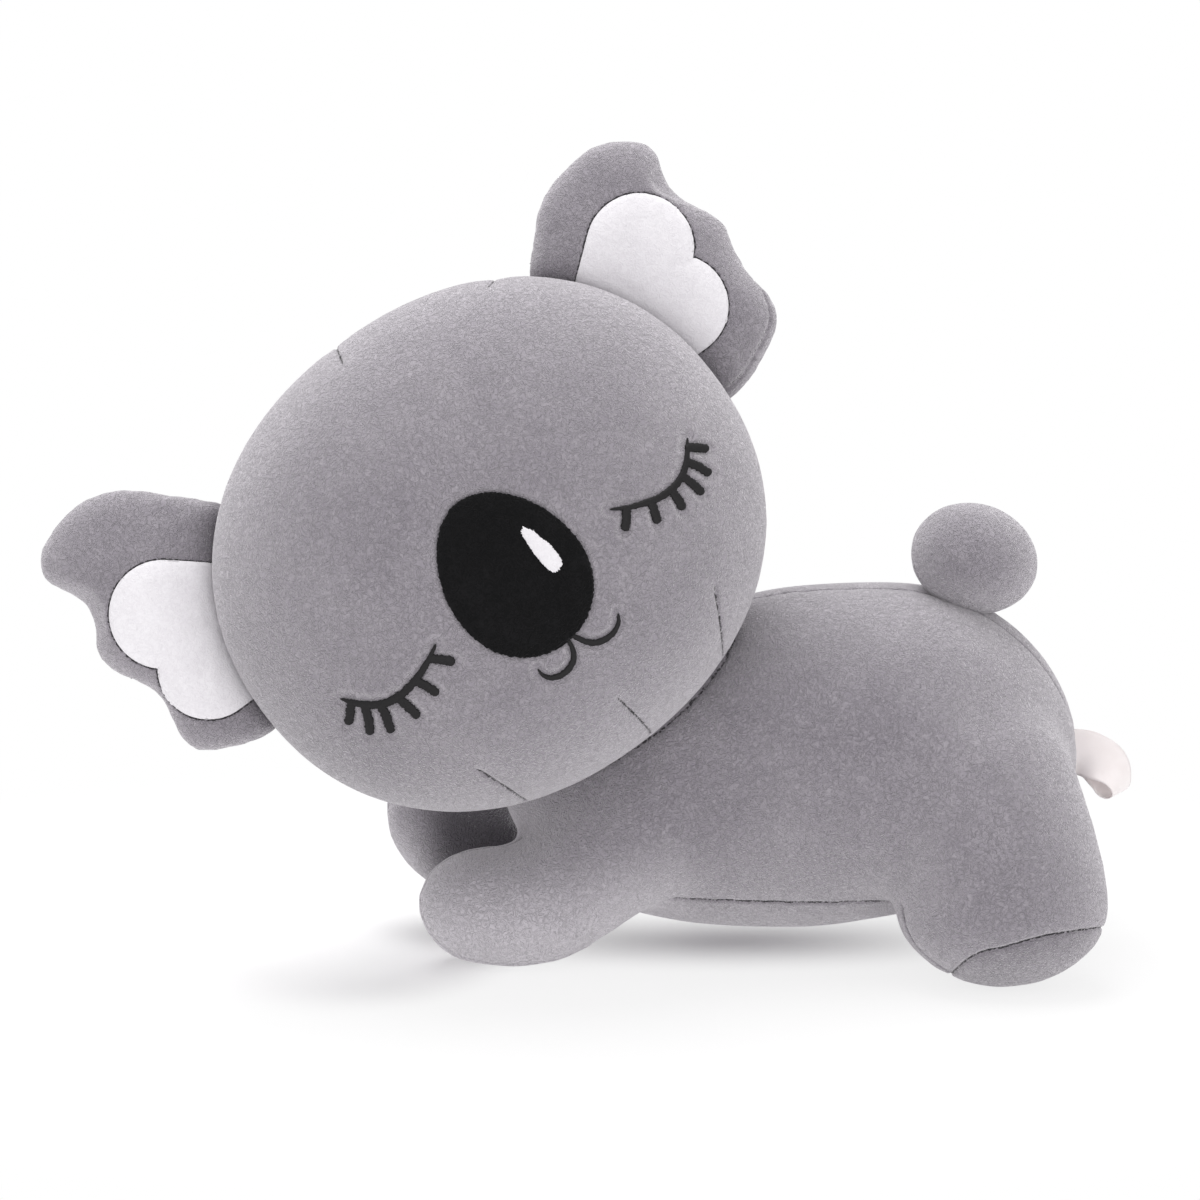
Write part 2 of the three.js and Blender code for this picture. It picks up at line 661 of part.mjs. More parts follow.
const body = new THREE.Group();
body.position.set(...BODY_PLACE, 0);
body.add(headGroup);
addHead();
addEar(1, "left");
addEar(-1, "right");
addTorso(body);
addArm(body, LEFT, "left", 0, 0);
addArm(body, RIGHT, "right", RIGHT_ARM_REACH, RIGHT_ARM_LIFT);
addLeg(body, LEFT, "left");
addLeg(body, RIGHT, "right");
addTail(body);
addLabel(body);

const koala = new THREE.Group();
koala.add(body);

export default koala;
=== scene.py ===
import math
from functools import partial

import bmesh
import bpy
import numpy as np
from mathutils import Matrix, Vector
from mathutils.bvhtree import BVHTree


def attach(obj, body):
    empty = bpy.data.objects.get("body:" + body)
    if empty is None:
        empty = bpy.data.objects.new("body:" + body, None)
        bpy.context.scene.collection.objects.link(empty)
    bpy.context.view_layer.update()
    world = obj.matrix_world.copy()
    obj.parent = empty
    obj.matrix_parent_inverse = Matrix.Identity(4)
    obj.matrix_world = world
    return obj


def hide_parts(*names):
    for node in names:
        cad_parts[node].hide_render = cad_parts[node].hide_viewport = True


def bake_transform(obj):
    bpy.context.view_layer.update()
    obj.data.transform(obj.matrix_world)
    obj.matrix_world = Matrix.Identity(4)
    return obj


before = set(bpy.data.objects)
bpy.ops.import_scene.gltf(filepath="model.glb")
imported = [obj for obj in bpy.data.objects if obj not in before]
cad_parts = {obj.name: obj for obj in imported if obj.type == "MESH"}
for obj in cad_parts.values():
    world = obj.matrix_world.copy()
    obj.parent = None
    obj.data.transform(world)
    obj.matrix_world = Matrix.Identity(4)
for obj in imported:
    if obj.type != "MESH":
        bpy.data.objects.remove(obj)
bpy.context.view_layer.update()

MM = 0.001
LEFT = -1  # the sign of Y on the koala's left
RIGHT = 1

# Where the body's own origin lies, and the head's and ears' places on it
BODY_PLACE = (-1.9, 13.1, 0)
HEAD_CENTRE = (-46, -44, 202)
HEAD_LEAN = 14  # degrees, the crown back
HEAD_ROLL = 36.3  # degrees, the left ear up
HEAD_TURN = 2  # degrees, the face towards the tail
HEAD_HALF = (130, 78, 115.5)
HEAD_OUTLINE_POWER = 2.16
HEAD_PROFILE_POWER = 2.25
HEAD_MESH = (96, 48)
RIM_SEAM_SETBACK = 7
RIM_SEAM_SLANT = 5  # degrees

EAR_ANGLE = 19  # degrees above the line from ear to ear
EAR_HALF_DEPTH = 12.5
EAR_ROUND = 19  # how far from its outline an ear is at its thickest
EAR_ROOT_TURN = (-23, 25)
EAR_ROOT_DEPTH = 5  # how far the root reaches into the head
EAR_EDGE_STRAY = {"left": 7, "right": 0}  # how far the edge seam comes forward low at the root
EAR_STRAY_FROM = (26, 46)
EAR_CREVICE_SHADE = 0.5  # how dark the painted shade is on an ear beside the head
EAR_CREVICE_WIDTH = 7
# how dark the painted shade is on the lining beside the head
LINING_CREVICE_SHADE = 0.3
EAR_BEND = 18  # millimetres out from an ear's root, along its frame
EAR_CENTRE = (26, 10)
EAR_EDGE = {  # each ear is stuffed a little differently
    "left": [
        (0, 66.5), (12, 72), (24, 73.5), (38, 72), (50, 68.5), (60, 60), (67, 49.5), (67.5, 41),
        (61.5, 31), (58, 21), (59, 6), (58, -5), (50.5, -16), (45, -27), (41, -41), (35, -50),
        (26, -53.5), (13, -55), (2, -55.5),
    ],
    "right": [
        (0, 65), (10, 70), (22, 75.5), (34, 77.5), (46, 76), (60, 69), (71, 58.5), (73.5, 50),
        (68, 38.5), (60, 29), (58.3, 18), (60.3, 4), (53, -7.5), (42, -16.5), (36, -26),
        (34.5, -39), (29, -50.5), (18, -54), (2, -55),
    ],
}
HEART_CROWN_LOBE = (22.3, 17.2, 24.5)  # centre and radius
HEART_CHIN_LOBE = (10, -12.4, 23)
HEART_NARROWS = 20  # degrees
HEART_SHIFT = 4  # the left heart is let in nearer to the crown, the right one nearer to the chin
HEART_STEPS = (-1.6, -0.7, -0.2, 0.2, 0.7, 1.2, 2)  # where the cloth is cut beside its outline
HEART_EDGE = 0.1
HEART_SUNK = 2.6  # how deep the cloth lies under the lining
HEART_ROLL = (0.9, 2)  # how deep and how wide the cloth rolls in beside it
LINING_PUFF = (1.1, 9)  # how high the lining swells, and how far from its edge
LINING_TUCK = (1.0, 2.2)  # how deep and how wide its edge is tucked in
LINING_THICK = 1.4
LINING_OUTSIDE = -0.2  # where the lining's faces end, from the heart's outline
HEART_LINE = (0.5, 1.1)  # how far outside it the line of stitches runs, and half its width
EAR_LINE = (0.8, 0.8)  # how dark the edge seam's line is, and half its width
EAR_SEAM_DEPTH = 0.9
EAR_SEAM_PULL = 0.5
EAR_POINTS = 180
EAR_RINGS = 48
EAR_ROOT_POINTS = 7
EAR_HELD = 2  # how far from its root an ear's cloth is held

# Torso, arms and legs: stations with their half width and half height
TORSO = [
    (230, 97, 76, 76), (190, 97, 78, 78), (150, 96, 78, 79), (100, 90.5, 74, 82),
    (50, 83, 63, 74), (0, 82, 50, 61), (-45, 80, 42, 48),
]
TORSO_POWER = 2.2
TORSO_ROUND = (0.36, 0.22)
ARM = [
    (64, 26, 94, 26, 28), (37, 36, 76, 31, 34), (6.5, 38, 50, 31, 30.5),
    (-22, 37, 30, 30, 30), (-53, 36, 28, 28, 28.5), (-82.5, 36, 35, 25, 27.5),
]
ARM_ROUND = (0.2, 0.2)
RIGHT_ARM_REACH = 14
RIGHT_ARM_LIFT = 48
RIGHT_ARM_ARCH = 9  # how far its middle is propped up under the head
LEG = [
    (184, 26, 124, 30, 34), (185, 44, 96, 38, 41), (187, 60, 62, 38, 49),
    (190, 70, 34, 34, 51), (192, 74, 0, 29, 49),
]
LEG_POWER = 2.1
LEG_ROUND = (0.22, 0.26)
FLOOR_SINK = 0.5  # how deep the floor flattens a paw or foot
SETTLE_REACH = 14  # height over which the stuffing gives way above the floor

# Seams of the body
SPINE_SHIFT = 13  # how far the spine's seam strays to the left over the rump
RUMP_ALONG = (130, 200)  # where it starts to stray and strays in full, along X
RUMP_UP = (60, 140)  # and the same upwards
BELLY_SEAM_HEIGHT = 33
NECK_SEAM_OFF = 1.3  # how far outside the head the neck's seam shows
ARM_SEAM = 50  # from the spine's plane, at the floor
ARM_SEAM_LEAN = 0.33  # how much nearer to it the seam is for each millimetre of height
ARM_SEAM_END = (0, 30)  # where it fades along X towards the belly
LEG_SEAM = 84
LEG_SEAM_LEAN = 0.13
LEG_SEAM_TOP = (36, 44)  # where it fades upwards
LEG_SEAM_END = (195, 205)  # and where it fades along X
LIMBS_PART = 90  # arms lie before this, legs behind it
SOLE_LINE = [(160, 4), (166.7, 14.9), (175.2, 22.5), (189.7, 26.7), (206, 31.5), (234, 35.7)]
SOLE_LINE_OUT = 100  # how far from the spine the sole's line of points lies
SOLE_SLOPE = 0.3  # how much the sole's seam falls for each millimetre inwards

# Painted shade on the body and the chin, and light from the floor painted low on the paws
CREVICE_SHADE = 0.35  # how dark the painted shade is where head and body touch
CREVICE_WIDTH = 1.6
# how dark the painted shade is on the soles
SOLE_SHADE = 0.22
HOLLOW_STARTS = ((-92, -64), (-14, 2), (8, 22))  # edges of the shade painted under the head, along X, Y and Z
HOLLOW_ENDS = ((50, 75), (48, 60))  # and its far edges along X and Y
HOLLOW_FACES = (-0.35, 0.15)  # how far its skin faces the left
PAINTED_FLOOR_LIGHT = 0.56  # how much light from the floor is painted low on the paws, in the pile's pale tip colour
PAWS_BEFORE = (20, 60)  # where the painted light fades out along X
PAWS_BELOW = (12, 72)  # and where it fades out upwards
# how dark the painted shade is under the chin
CHIN_SHADE = 0.42
CHIN_DOWN = (0.45, 0.85)  # the way from the head's middle to its chin, forwards and down
CHIN_FROM = (0.35, 1.2)

# Tail and label
TAIL_CENTRE = (180, 0, 186.4)
TAIL_HALF = (30, 27, 26.5)
TAIL_LEAN = 0.1  # how much fuller it is towards its front top and its back underside
TAIL_GATHERS = 0.07  # how deep its folds are
TAIL_GATHERED = (0.62, 0.92)  # share of the way down where they start, and where they are full
TAIL_FOLDS = ((7, 0.6, 1), (11, 0.5, 0))  # how many, how deep beside the rest, how far turned
TAIL_MESH = (72, 40)
TAIL_VOXEL = 0.003
LABEL_SEAT = (229.3, 0, 93)
LABEL_WIDTH = 22
LABEL_LENGTH = 34
LABEL_ROOT = 6  # length sewn into the seam
LABEL_LOOP_HALF = 4.4
LABEL_DROOP = 104  # degrees that it turns down between its seam and its folded end
LABEL_TWIST = 62  # degrees
LABEL_TWISTS = (0.05, 0.9)  # from share to share of its length
LABEL_THICK = 0.35
LABEL_MESH = (80, 14)
LABEL_CLOSED = 0.4  # half the gap between its two layers at the seam
LABEL_OPEN = 0.7  # share of its length at which the loop is fully open

# Face, in the head's frame: across and up
NOSE_CENTRE = (-2.7, -19.9)
NOSE_HALF = (31.7, 39)
NOSE_EGG = 0.12
NOSE_TILT = 2.3  # degrees
NOSE_THICK = 1.8
GLINT_CENTRE = (13.6, -20.5)
GLINT_EDGE = [
    (12.8, -6), (15.5, -9.7), (16.4, -14.3), (17.8, -18.1), (18.4, -22.5), (18.5, -26.5),
    (17.6, -30), (14.7, -31.6), (12, -31), (10.4, -27.5), (9.8, -21.9), (9.8, -16),
    (10.2, -10), (11.2, -6.6),
]
NOSE_ROOT = 1.5  # how deep the nose's patch goes under the cloth
GLINT_ROOT = 1.2  # how deep the glint's patch goes into the nose
GLINT_LIFT = 0.9  # how far it stands out
THREAD_LIFT = 0.9
THREAD_SIDES = 14
NOSE_MESH = (260, 48)  # sides and rings
GLINT_MESH = (100, 24)
BEFORE_FACE = 200  # how far before the head's middle a place on the face is looked up from
NOSE_FRAY = 0.009
GLINT_FRAY = 0.05
RIM_POINTS = 80
RAGGED = 0.12  # how much the width of the stitches strays
LASH_RAGGED = 0.16
EYE_ARC = [
    (48, -24), (57, -28.8), (67, -32), (75, -32.8), (83, -31), (90, -26), (96.7, -17.8),
]
LASH_WIDTH = 4.1
LASH_PLACES = (0.13, 0.34, 0.53, 0.67, 0.8, 0.91)
LASH_ROOT = 1.2  # how far a lash starts above its arc
LASH_BOW = 0.5
ARC_POINTS = 90
LASH_POINTS = 30
MOUTH_POINTS = 60
EYES = {  # each is stitched a little differently
    "left": {
        "shift": (0.5, 1.3), "width": 3.3, "lengths": (10.5, 10.5, 10.5, 12.5, 12.5, 10),
        "splay": (-40, -18, -3, 16, 30, 55),
    },
    "right": {
        "shift": (0, -1.3), "width": 3.8, "lengths": (11.7, 12.1, 13.2, 13.7, 13.7, 10.2),
        "splay": (-47, -24, -11, 14, 26, 45),
    },
}
MOUTH_ARCS = [
    [(0.2, -55), (-0.4, -61), (-2.2, -65.7), (-6, -68.4), (-10.5, -69.1), (-15.2, -67.8),
     (-18, -64.8), (-18.5, -60.6)],
    [(0.7, -52.3), (4, -60.6), (7.6, -65.4), (12, -67.5), (17.5, -67.7), (22.3, -65.6),
     (25.1, -61.7)],
]
MOUTH_WIDTH = 2.8
DARTS = [  # from the tip to the rim, in the head's frame: across and up
    ((-7.3, 102.4), (-4.2, 113.3)), ((67, 94), (71.2, 95.5)), ((3, -91), (7.5, -112)),
    ((69.4, -75.4), (57, -103)), ((-67.1, -78.8), (-60.1, -96.5)),
]
DART_FADE = 0.2  # share of its length over which a dart starts
DART_REACH = 60  # how far behind its end it still runs
FINER_NEAR = (7, 4.5)  # how near the embroidery the cloth is cut finer, once and twice
STITCH_SINK = 0.75  # how deep the cloth sinks under the embroidery and at the nose's edge
STITCH_SINK_WIDTH = 1.3
STITCH_HALF = 2
HALO_OFF = 1.6  # how far beside the embroidery the pile stands up
HALO_WIDTH = 0.9

# Joining and stuffing
SWEPT_MESH = (48, 32)  # sides and rings of a torso or limb
JOINT_ABOVE = (30, 60)  # heights where hollows at a limb's joint start to be filled, and are filled
JOINT_BESIDE = (30, 46)  # and the same, away from the spine's plane
JOINT_ROUNDS = 70
BULGE_SHARE = 0.06  # how much of its move a bulge still makes while the hollows fill
BODY_DRAWN_IN = 0.8  # room that the skin leaves for its stuffing to swell it
HEAD_DRAWN_IN = 0.6
INSIDE_HEAD = 0.93  # share of the head's size within which the body's skin is held
ON_TORSO = (0, 3)  # how much nearer the torso than a limb must be, from not at all to clearly
ON_LIMB = (1, 5)
STUFFING = {  # its pressure, and how far it may move the cloth
    "body": (4, 2.2), "head": (4, 3), "ear": (5, 3), "tail": (4, 1.5),
}
STUFFING_STEPS = 20
EVENED = {"body": 5, "joints": 3, "head": 8, "ear": 6, "tail": 4}  # rounds of smoothing
NEAR_HEAD = 0.2  # share of the head's size within which distances to it are exact

# Cloth and its seams
VOXEL = 0.0042
EAR_VOXEL = 0.003
FAR_OFF = 99  # further than any seam reaches
SEAM_STEPS = (-2.6, -1.3, -0.55, 0, 0.55, 1.3, 2.6)
SEAM_REACH = 6  # how far from a seam the cloth is cut finer
NEAR_END = 0.05  # a cut that meets an edge nearer to its end than this goes through the end
SEAM_DEPTH = 1.1
SEAM_HALF = 0.75
PULL_DEPTH = 0.6  # how far the thread pulls the cloth in round a seam
PULL_HALF = 5.5
SEAM_LINE_HALF = 0.85  # half the width of the line that its thread draws
PUCKER_WAYS = (1.0, 0.7, 0.8)
PUCKER_LENGTHS = (1.7, 2.9)
PUCKER_DEPTH = 0.2

# Pile: how fine its curls, fibres, patches, brushed areas and stitches are, in waves to a metre
CURL_SCALE = 440
FIBRE_SCALE = 1500
PATCH_SCALE = 110
BRUSHED_SCALE = 20
STITCH_SCALE = 620
CURL_SHARPNESS = 7  # how narrow its curls are
TONE = {"brushed": 0.45, "patches": 0.25, "curls": 0.17, "fibres": 0.15}  # what each tells
RELIEF = {"patches": 0.4, "fibres": 0.15}  # how high each stands, beside the curls

# Stage, in metres
FLOOR_FADES = [  # middle, squeeze along X and Y, reach from its start to plain white, white at it
    ((0, 0), (1.0, 1.5), (0.25, 0.55), 0.78),
    ((0.065, 0.013), (0.4, 1.0), (0.0, 0.055), 0.1),
    ((-0.13, -0.01), (1.0, 1.0), (0.05, 0.1), 0.1),
]
FLOOR_HALF = 12
FLOOR_BELOW = 0.0002  # how far it lies under the cushion
BOUNCE = 0.4  # how evenly the floor lights the cushion from below, even in its own shadow
DAYLIGHT = 0.85
LIGHTS = [  # name, place, aim, size and power
    ("softbox_above", (-0.3, 0.4, 1.9), (0, 0, 0.1), 1.6, 25),
    ("front_fill", (0.5, -2.0, 0.15), (0.05, 0, 0.08), 1.2, 12.5),
    ("left_fill", (-1.7, -1.7, 0.3), (-0.05, 0, 0.08), 1.4, 1.5),
]
CAMERA_AIM = (0.0026, 0.0131, 0.1665)
CAMERA_UP = 12  # degrees above the floor's plane
CAMERA_AWAY = 2.0
CAMERA_LENS = 127.65  # in millimetres, on a sensor as wide as 36


# Frames: each takes millimetres of a part's own frame to metres of the row's

def turned(degrees, axis):
    return Matrix.Rotation(math.radians(degrees), 4, axis)


BODY = Matrix.Scale(MM, 4) @ Matrix.Translation(BODY_PLACE)
HEAD = (
    BODY @ Matrix.Translation(HEAD_CENTRE)
    @ turned(-HEAD_LEAN, "X") @ turned(-HEAD_ROLL, "Y") @ turned(HEAD_TURN, "Z")
)


def superellipse(angle, half_a, half_b, power):
    c, s = math.cos(angle), math.sin(angle)
    reach = (abs(c / half_a) ** power + abs(s / half_b) ** power) ** (-1 / power)
    return reach * c, reach * s


def ear_seat(degrees):
    """Where the rim seam lies on the head's outline, at an angle from the line between the ears."""
    x, z = superellipse(math.radians(degrees), HEAD_HALF[0], HEAD_HALF[2], HEAD_OUTLINE_POWER)
    back = ear_setback()
    share = (1 - (back / HEAD_HALF[1]) ** HEAD_PROFILE_POWER) ** (1 / HEAD_PROFILE_POWER)
    return Vector((x * share, z * share))


def ear_setback():
    _, z = superellipse(math.radians(EAR_ANGLE), HEAD_HALF[0], HEAD_HALF[2], HEAD_OUTLINE_POWER)
    return RIM_SEAM_SETBACK + z * math.tan(math.radians(RIM_SEAM_SLANT))


def ear_frame(side):
    seat = ear_seat(EAR_ANGLE)
    mirror = Matrix.Diagonal((side, 1, 1, 1))
    return HEAD @ mirror @ Matrix.Translation((seat.x, ear_setback(), seat.y)) @ turned(-EAR_ANGLE, "Y")


# Meshes

def places(mesh):
    co = np.empty(len(mesh.vertices) * 3)
    mesh.vertices.foreach_get("co", co)
    return co.reshape(-1, 3)


def put(mesh, co):
    mesh.vertices.foreach_set("co", co.ravel())
    mesh.update()


def facing(mesh):
    normals = np.empty(len(mesh.vertices) * 3)
    mesh.vertex_normals.foreach_get("vector", normals)
    return normals.reshape(-1, 3)


def seen_from(matrix, points):
    inverse = np.array(matrix.inverted())
    return points @ inverse[:3, :3].T + inverse[:3, 3]


def smooth_step(value, low, high):
    share = np.clip((value - low) / (high - low), 0, 1)
    return share * share * (3 - 2 * share)


def piece_of(name, shape, matrix=Matrix()):
    """A new piece from a bmesh in a matrix's frame, whose faces are turned to agree."""
    shape.transform(matrix)
    bmesh.ops.recalc_face_normals(shape, faces=shape.faces)
    mesh = bpy.data.meshes.new(name)
    shape.to_mesh(mesh)
    shape.free()
    piece = bpy.data.objects.new(name, mesh)
    bpy.context.scene.collection.objects.link(piece)
    mesh.shade_smooth()
    return piece


def apply_modifiers(piece):
    bpy.context.view_layer.update()
    seen = piece.evaluated_get(bpy.context.evaluated_depsgraph_get())
    mesh = bpy.data.meshes.new_from_object(seen)
    old = piece.data
    piece.modifiers.clear()
    piece.data = mesh
    mesh.name = piece.name
    bpy.data.meshes.remove(old)
    mesh.shade_smooth()


def remesh(piece, voxel):
    step = piece.modifiers.new("even_out", "REMESH")
    step.mode = "VOXEL"
    step.voxel_size = voxel
    apply_modifiers(piece)


def subdivide(piece):
    step = piece.modifiers.new("round_off", "SUBSURF")
    step.levels = step.render_levels = 1
    apply_modifiers(piece)


def draw_in(piece, depth):
    """Moves a skin inwards, so that it has room to swell."""
    put(piece.data, places(piece.data) - facing(piece.data) * depth * MM)


def tree_of(piece, matrix):
    """A tree of a piece's faces in a matrix's frame, to find places on its skin."""
    shape = bmesh.new()
    shape.from_mesh(piece.data)
    shape.transform(matrix.inverted())
    shape.normal_update()
    tree = BVHTree.FromBMesh(shape)
    shape.free()
    return tree


def add_form(shape, sides, rings, place):
    """Adds a closed form: a sphere whose points are moved by place(turn round, share of the way)."""
    made = bmesh.ops.create_uvsphere(shape, u_segments=sides, v_segments=rings, radius=1)
    for vert in made["verts"]:
        turn = math.atan2(vert.co.y, vert.co.x) / math.tau % 1
        share = math.acos(max(-1, min(1, vert.co.z))) / math.pi
        vert.co = place(turn, share)
    return made["verts"]


def relax(mesh, rounds, reach=None, hollows_only=False):
    """Evens a skin out. With hollows_only it fills hollows and leaves what bulges."""
    ends = np.empty(len(mesh.edges) * 2, int)
    mesh.edges.foreach_get("vertices", ends)
    first, second = ends.reshape(-1, 2).T
    count = np.bincount(ends, minlength=len(mesh.vertices))[:, None]
    share = 0.5 if reach is None else 0.5 * reach[:, None]
    co = places(mesh)
    for turn in range(rounds):
        total = np.stack([
            np.bincount(first, co[second, k], len(co)) + np.bincount(second, co[first, k], len(co))
            for k in range(3)
        ], 1)
        move = total / count - co
        if hollows_only:
            if turn % 8 == 0:
                put(mesh, co)
                normal = facing(mesh)
            move *= np.where((move * normal).sum(1) > 0, 1, BULGE_SHARE)[:, None]
        co += share * move
    put(mesh, co)


def stuff(piece, pressure, most, pinned=None):
    """Fills a closed skin: cloth under pressure, where no point may move further than most does."""
    start = places(piece.data)
    cloth = piece.modifiers.new("stuffing", "CLOTH")
    settings = cloth.settings
    settings.quality = 5
    settings.mass = 0.3
    settings.tension_stiffness = settings.compression_stiffness = 15
    settings.shear_stiffness = 5
    settings.bending_stiffness = 0.8
    settings.use_pressure = True
    settings.uniform_pressure_force = pressure
    settings.effector_weights.gravity = 0
    if pinned is not None:
        group = piece.vertex_groups.new(name="held")
        for index in np.nonzero(pinned)[0]:
            group.add([int(index)], 1, "REPLACE")
        settings.vertex_group_mass = "held"
    scene = bpy.context.scene
    cloth.point_cache.frame_start = 1
    cloth.point_cache.frame_end = STUFFING_STEPS
    for step in range(1, STUFFING_STEPS + 1):
        scene.frame_set(step)
    seen = piece.evaluated_get(bpy.context.evaluated_depsgraph_get())
    move = places(seen.data) - start
    length = np.linalg.norm(move, axis=1, keepdims=True)
    move *= np.minimum(1, most * MM / np.maximum(length, 1e-9))
    piece.modifiers.clear()
    piece.vertex_groups.clear()
    scene.frame_set(1)
    put(piece.data, start + move)


# Seams: each is a pair of functions of points in a part's own frame, how far they lie from the seam
# and how strongly it shows there

def everywhere(points):
    return np.ones(len(points))


def plane_seam(point, normal, shows=everywhere):
    point = np.array(point)
    normal = np.array(Vector(normal).normalized())
    return lambda p: (p - point) @ normal, shows


def cut_lines(shape, away, near, levels):
    """Adds edges where away, given for each point of a bmesh, has a level, between the near points."""
    verts = list(shape.verts)
    value = dict(zip(verts, away))
    edges = list(dict.fromkeys(
        edge for vert, kept in zip(verts, near) if kept for edge in vert.link_edges
    ))
    for level in levels:
        made = []
        for edge in list(edges):
            at_a, at_b = (value[vert] - level for vert in edge.verts)
            if at_a * at_b >= 0 or abs(at_a - at_b) > FAR_OFF / 3:
                continue
            share = at_a / (at_a - at_b)
            if share < NEAR_END or share > 1 - NEAR_END:
                made.append(edge.verts[round(share)])
            else:
                half, vert = bmesh.utils.edge_split(edge, edge.verts[0], share)
                value[vert] = level
                made.append(vert)
                edges.append(half)
        made = list(dict.fromkeys(made))
        edges += bmesh.ops.connect_verts(shape, verts=made, check_degenerate=True)["edges"]


def cut_seams(piece, matrix, seams):
    """Adds edges along both sides of each seam's line."""
    shape = bmesh.new()
    shape.from_mesh(piece.data)
    for away_of, shows in seams:
        local = seen_from(matrix, np.array([vert.co for vert in shape.verts]))
        away = away_of(local)
        near = np.abs(away) < SEAM_REACH
        near[near] = shows(local[near]) > 0.01
        cut_lines(shape, away, near, SEAM_STEPS)
    shape.to_mesh(piece.data)
    shape.free()


def puckers(points):
    """How much more or less the thread pulls the cloth in, from place to place along a seam."""
    along = points @ np.array(PUCKER_WAYS)
    short, long = PUCKER_LENGTHS
    return 1 + PUCKER_DEPTH * (np.sin(along / short) + np.sin(along / long + 1))


def line_on(away, half):
    """How clearly a thread's line shows at a distance from its middle."""
    return np.clip(1 - np.abs(away) / half, 0, 1)


def press_seams(piece, matrix, seams, depth=SEAM_DEPTH, pull=PULL_DEPTH):
    """Presses the cut seams in, and marks their lines for the material."""
    mesh = piece.data
    co = places(mesh)
    local = seen_from(matrix, co)
    pucker = puckers(local)
    sink = np.zeros(len(co))
    line = np.zeros(len(co))
    for away_of, shows in seams:
        away = away_of(local)
        near = np.abs(away) < PULL_HALF * 3
        away = away[near]
        weight = shows(local[near])
        groove = depth * np.exp(-(away / SEAM_HALF) ** 2)
        valley = pull * pucker[near] * np.exp(-(away / PULL_HALF) ** 2)
        sink[near] = np.maximum(sink[near], weight * (groove + valley))
        line[near] = np.maximum(line[near], weight * line_on(away, SEAM_LINE_HALF))
    put(mesh, co - facing(mesh) * sink[:, None] * MM)
    mark(mesh, "seam", line)


def mark(mesh, name, values):
    layer = mesh.attributes.get(name) or mesh.attributes.new(name, "FLOAT", "POINT")
    layer.data.foreach_set("value", values.astype(np.float32))


# Curves through points

def on_curve(points, along):
    """A point on the smooth curve through the points, from 0 to 1 along it."""
    place = along * (len(points) - 1)
    i = min(int(place), len(points) - 2)
    w = place - i
    p1, p2 = Vector(points[i]), Vector(points[i + 1])
    p0 = Vector(points[i - 1]) if i > 0 else 2 * p1 - p2
    p3 = Vector(points[i + 2]) if i + 2 < len(points) else 2 * p2 - p1
    d0, d1, d2 = (max((b - a).length, 1e-4) ** 0.5 for a, b in ((p0, p1), (p1, p2), (p2, p3)))
    t1 = ((p1 - p0) / d0 - (p2 - p0) / (d0 + d1) + (p2 - p1) / d1) * d1
    t2 = ((p2 - p1) / d1 - (p3 - p1) / (d1 + d2) + (p3 - p2) / d2) * d1
    return (
        p1 + t1 * w + (-3 * p1 + 3 * p2 - 2 * t1 - t2) * w**2 + (2 * p1 - 2 * p2 + t1 + t2) * w**3
    )


def evenly(points, count, steps=200):
    """Points at equal lengths along the curve through the points."""
    fine = np.array([on_curve(points, i / steps) for i in range(steps + 1)])
    run = np.concatenate([[0], np.cumsum(np.linalg.norm(np.diff(fine, axis=0), axis=1))])
    wanted = np.linspace(0, run[-1], count)
    return np.stack([np.interp(wanted, run, fine[:, k]) for k in range(fine.shape[1])], 1)


def distance_to(line, points):
    """How far 2-D points are from a line of points."""
    nearest = np.full(len(points), 1e9)
    for a, b in zip(line[:-1], line[1:]):
        run = b - a
        share = np.clip(((points - a) @ run) / max(run @ run, 1e-9), 0, 1)
        nearest = np.minimum(nearest, np.linalg.norm(points - a - share[:, None] * run, axis=1))
    return nearest


# Body

def rounded_end(along, share):
    return 1 if along >= share else math.sqrt(max(0, 1 - (1 - along / share) ** 2))


def add_swept(shape, stations, power, rounds, low=None):
    """Adds a torso or limb along its stations, (x, y, z, half width, half height)."""
    path = [Vector(station[:3]) for station in stations]
    sizes = [Vector((station[3], station[4], 0)) for station in stations]

    def place(turn, share):
        along = (1 - math.cos(math.pi * share)) / 2
        centre = on_curve(path, along)
        ahead = on_curve(path, min(1, along + 0.001)) - on_curve(path, max(0, along - 0.001))
        ahead.normalize()
        across = (Vector((0, 1, 0)) - ahead * ahead.y).normalized()
        up = across.cross(ahead)
        size = on_curve(sizes, along)
        full = rounded_end(along, rounds[0]) * rounded_end(1 - along, rounds[1])
        w, h = superellipse(math.tau * turn, size.x, size.y, power)
        return centre + across * w * full + up * h * full

    verts = add_form(shape, *SWEPT_MESH, place)
    if low is not None:
        rise = low - min(vert.co.z for vert in verts)
        bmesh.ops.translate(shape, verts=verts, vec=(0, 0, rise))


def arm_stations(side):
    right = (RIGHT_ARM_REACH, RIGHT_ARM_LIFT, RIGHT_ARM_ARCH)
    reach, lift, arch = right if side == RIGHT else (0, 0, 0)
    last = len(ARM) - 1
    return [
        (
            x - reach * i / last, side * y,
            z + lift * (i / last) ** 4 + arch * math.sin(math.pi * i / last), w, h,
        )
        for i, (x, y, z, w, h) in enumerate(ARM)
    ]


def body_forms():
    """The torso, arms and legs before they are joined, each in its own bmesh."""
    torso = bmesh.new()
    add_swept(torso, [(x, 0, z, w, h) for x, z, w, h in TORSO], TORSO_POWER, TORSO_ROUND)
    limbs = {"torso": torso}
    for side, name in ((LEFT, "left"), (RIGHT, "right")):
        arm = limbs[name + "_arm"] = bmesh.new()
        low = -FLOOR_SINK if side == LEFT else RIGHT_ARM_ARCH / 2
        add_swept(arm, arm_stations(side), 2, ARM_ROUND, low)
        leg = limbs[name + "_leg"] = bmesh.new()
        stations = [(x, side * y, z, w, h) for x, y, z, w, h in LEG]
        add_swept(leg, stations, LEG_POWER, LEG_ROUND, -FLOOR_SINK)
    return limbs


